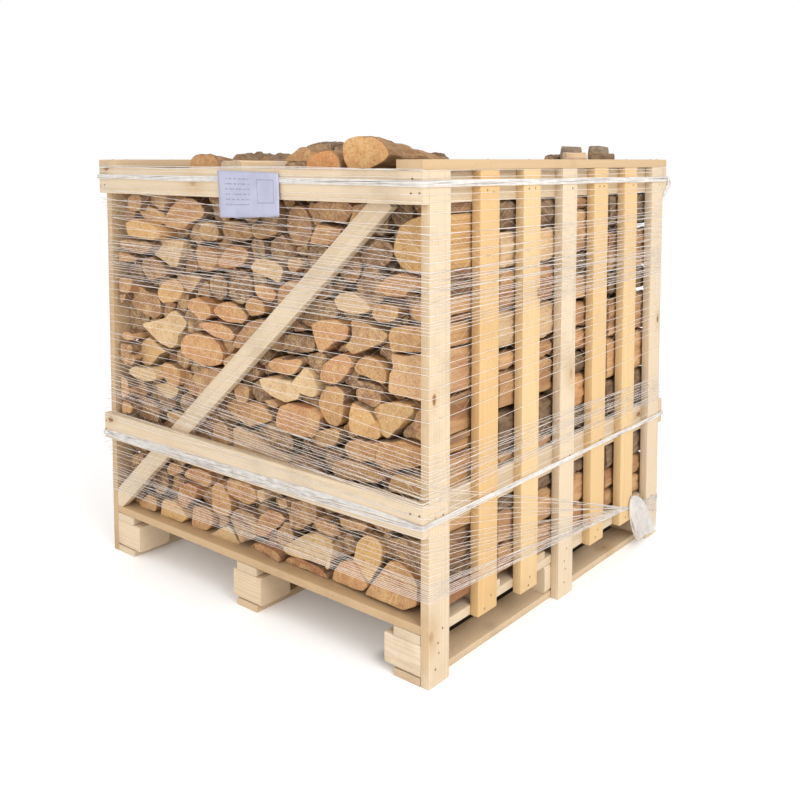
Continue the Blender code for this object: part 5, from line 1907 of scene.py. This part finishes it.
# %% Where the nails go
NAIL_SINK = 0.0003
NAIL_JITTER = 0.004
NAIL_ASIDE = 0.006
CAP_NAIL_INSET = 0.011
POST_FEET = (0.034, 0.071, 0.092, 0.119)
SLAT_FEET = (0.012, 0.032)
RAIL_NAIL_HEIGHTS = (0.362, 1.040)
RAIL_NAIL_SHARE = 0.7
nail_spots = []
rng = random.Random(31)


def nail(x, y, z, facing):
    jitter = Vector([rng.uniform(-NAIL_JITTER, NAIL_JITTER) for axis in range(3)])
    facing = Vector(facing)
    in_the_face = Vector([0.0 if f else 1.0 for f in facing])
    nail_spots.append((place(*(Vector((x, y, z)) + jitter * in_the_face - facing * NAIL_SINK)), facing))


def middle_y(node):
    low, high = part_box(node)
    return (low[1] + high[1]) / 2 - FRONT


for node in sorted(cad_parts):
    if not node.startswith(("post", "slat")):
        continue
    side, face = (-1, 0.0) if "left" in node else (1, WIDTH)
    y, foot = middle_y(node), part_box(node)[0][2]
    for number, z in enumerate(POST_FEET if node.startswith("post") else [foot + up for up in SLAT_FEET]):
        aside = (-NAIL_ASIDE, NAIL_ASIDE)[number % 2]
        nail(face, y + aside + rng.uniform(-NAIL_ASIDE, NAIL_ASIDE), z, (side, 0, 0))
    for z in RAIL_NAIL_HEIGHTS:
        for shift in (-0.014, 0.015):
            if rng.random() < RAIL_NAIL_SHARE:
                nail(face, y + shift, z, (side, 0, 0))
for end, facing, y in (("front", -1, 0.0), ("back", 1, DEPTH)):
    for node in (f"top_rail_{end}", f"middle_rail_{end}"):
        low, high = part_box(node)
        for x in (0.009, 0.026, WIDTH - 0.028, WIDTH - 0.011):
            for share in (0.3, 0.72):
                nail(x, y, low[2] + (high[2] - low[2]) * share, (0, facing, 0))
for side, x in (("left", CAP_NAIL_INSET), ("right", WIDTH - CAP_NAIL_INSET)):
    for part in ("front", "middle", "back"):
        for shift in (-0.018, 0.018):
            nail(x, middle_y(f"post_{side}_{part}") + shift, CAP_TOP, (0, 0, 1))
    for number in range(1, 5):
        nail(x, middle_y(f"slat_{side}_{number}"), CAP_TOP, (0, 0, 1))
print(len(nail_spots), "nails")

# %% The nail tree
HEAD_CORNERS = 12
HEAD_TAPER = 0.82


def nail_tree():
    w, take = shape_tree("nail heads", [("Head radius", "Float"), ("Head rise", "Float")])
    narrow = w.node("ShaderNodeMath", {0: take["Head radius"], 1: HEAD_TAPER}, operation="MULTIPLY")
    head = w.node("MeshCone", {"Vertices": HEAD_CORNERS, "Radius Bottom": take["Head radius"],
                               "Radius Top": narrow.outputs[0], "Depth": take["Head rise"]})
    facing = w.node("InputNamedAttribute", {"Name": "facing"}, data_type="FLOAT_VECTOR")
    align = w.node("FunctionNodeAlignRotationToVector", {"Vector": facing.outputs["Attribute"]}, axis="Z")
    copies = w.node("InstanceOnPoints", {"Points": take["Geometry"], "Instance": head.outputs["Mesh"],
                                         "Rotation": align.outputs["Rotation"]})
    return end_tree(w, take, copies.outputs["Instances"])


NAIL_RADIUS = 0.0028
NAIL_RISE = 0.0010
spots = bpy.data.meshes.new("nail_spots")
spots.from_pydata([tuple(at) for at, facing in nail_spots], [], [])
write_attribute(spots, "facing", "FLOAT_VECTOR", [c for at, facing in nail_spots for c in facing])
nails = run_tree("nails", new_piece("nail_spots", spots), nail_tree(), Head_radius=NAIL_RADIUS,
                 Head_rise=NAIL_RISE, Finish=NAIL_STEEL)
settle(nails, "net")

# %% [markdown]
# ## The studio
#
# A white floor that runs out of sight, a bright even sky, a large soft light from the crate's right and a
# weaker one in front. A dark patch of painted shade lies on the floor under the pallet and deepens the
# shade between the boards. The floor isn't attached to the crate's body, so it isn't part of the crate.

# %% Floor, sky and lights
FLOOR_REACH = 30.0
bm = bmesh.new()
bmesh.ops.create_grid(bm, x_segments=1, y_segments=1, size=FLOOR_REACH)
floor_mesh = bpy.data.meshes.new("studio_floor")
bm.to_mesh(floor_mesh)
bm.free()
# Painted shade: the floor is dark, and doesn't glow, in these patches under the pallet.
UNDER_SHADE = [((0.97, 0.06), (1.06, 1.12)), ((0.10, 0.34), (1.06, 1.10))]
SHADE_EDGE = 0.03
FLOOR_GLOW = 0.08
SKY_STRENGTH = 1.0
floor_material, w, shader = new_material("studio_white", 0.9, 0.1)
floor_spot = w.node("SeparateXYZ", {0: w.node("TexCoord").outputs["Object"]})
shade = 0.0
for low, high in UNDER_SHADE:
    patch = 1.0
    for axis, a, b in zip((0, 1), place(*low), place(*high)):
        rise = w.between(floor_spot.outputs[axis], a - SHADE_EDGE, a + SHADE_EDGE)
        fall = w.between(floor_spot.outputs[axis], b + SHADE_EDGE, b - SHADE_EDGE)
        patch = w.times(w.times(rise, fall), patch)
    shade = w.maths("MAXIMUM", shade, patch)
ground = w.blend(shade, (0.96, 0.96, 0.96, 1), rgb(70, 60, 50))
w.tree.links.new(ground, shader.inputs["Base Color"])
w.tree.links.new(w.blend(shade, (1, 1, 1, 1), (0, 0, 0, 1)), shader.inputs["Emission Color"])
shader.inputs["Emission Strength"].default_value = FLOOR_GLOW
floor_mesh.materials.append(floor_material)
studio_floor = new_piece("studio_floor", floor_mesh)

world = bpy.data.worlds.new("soft sky")
world.use_nodes = True
sky = world.node_tree.nodes["Background"].inputs
sky["Color"].default_value = (1.0, 1.0, 1.0, 1)
sky["Strength"].default_value = SKY_STRENGTH
bpy.context.scene.world = world


def soft_light(name, at, towards, size, power, colour):
    lamp = bpy.data.lights.new(name, "AREA")
    lamp.size = size
    lamp.energy = power
    lamp.color = colour
    light = bpy.data.objects.new(name, lamp)
    light.location = at
    light.rotation_euler = (Vector(towards) - Vector(at)).to_track_quat("-Z", "Y").to_euler()
    bpy.context.scene.collection.objects.link(light)


soft_light("key", at=(4.2, -1.4, 3.4), towards=(0, 0, 0.5), size=2.8, power=129,
           colour=(1.0, 0.985, 0.965))
soft_light("fill", at=(1.6, -4.6, 2.2), towards=(0.3, 0, 0.5), size=3.0, power=50,
           colour=(1.0, 0.995, 0.99))
print("studio lit")
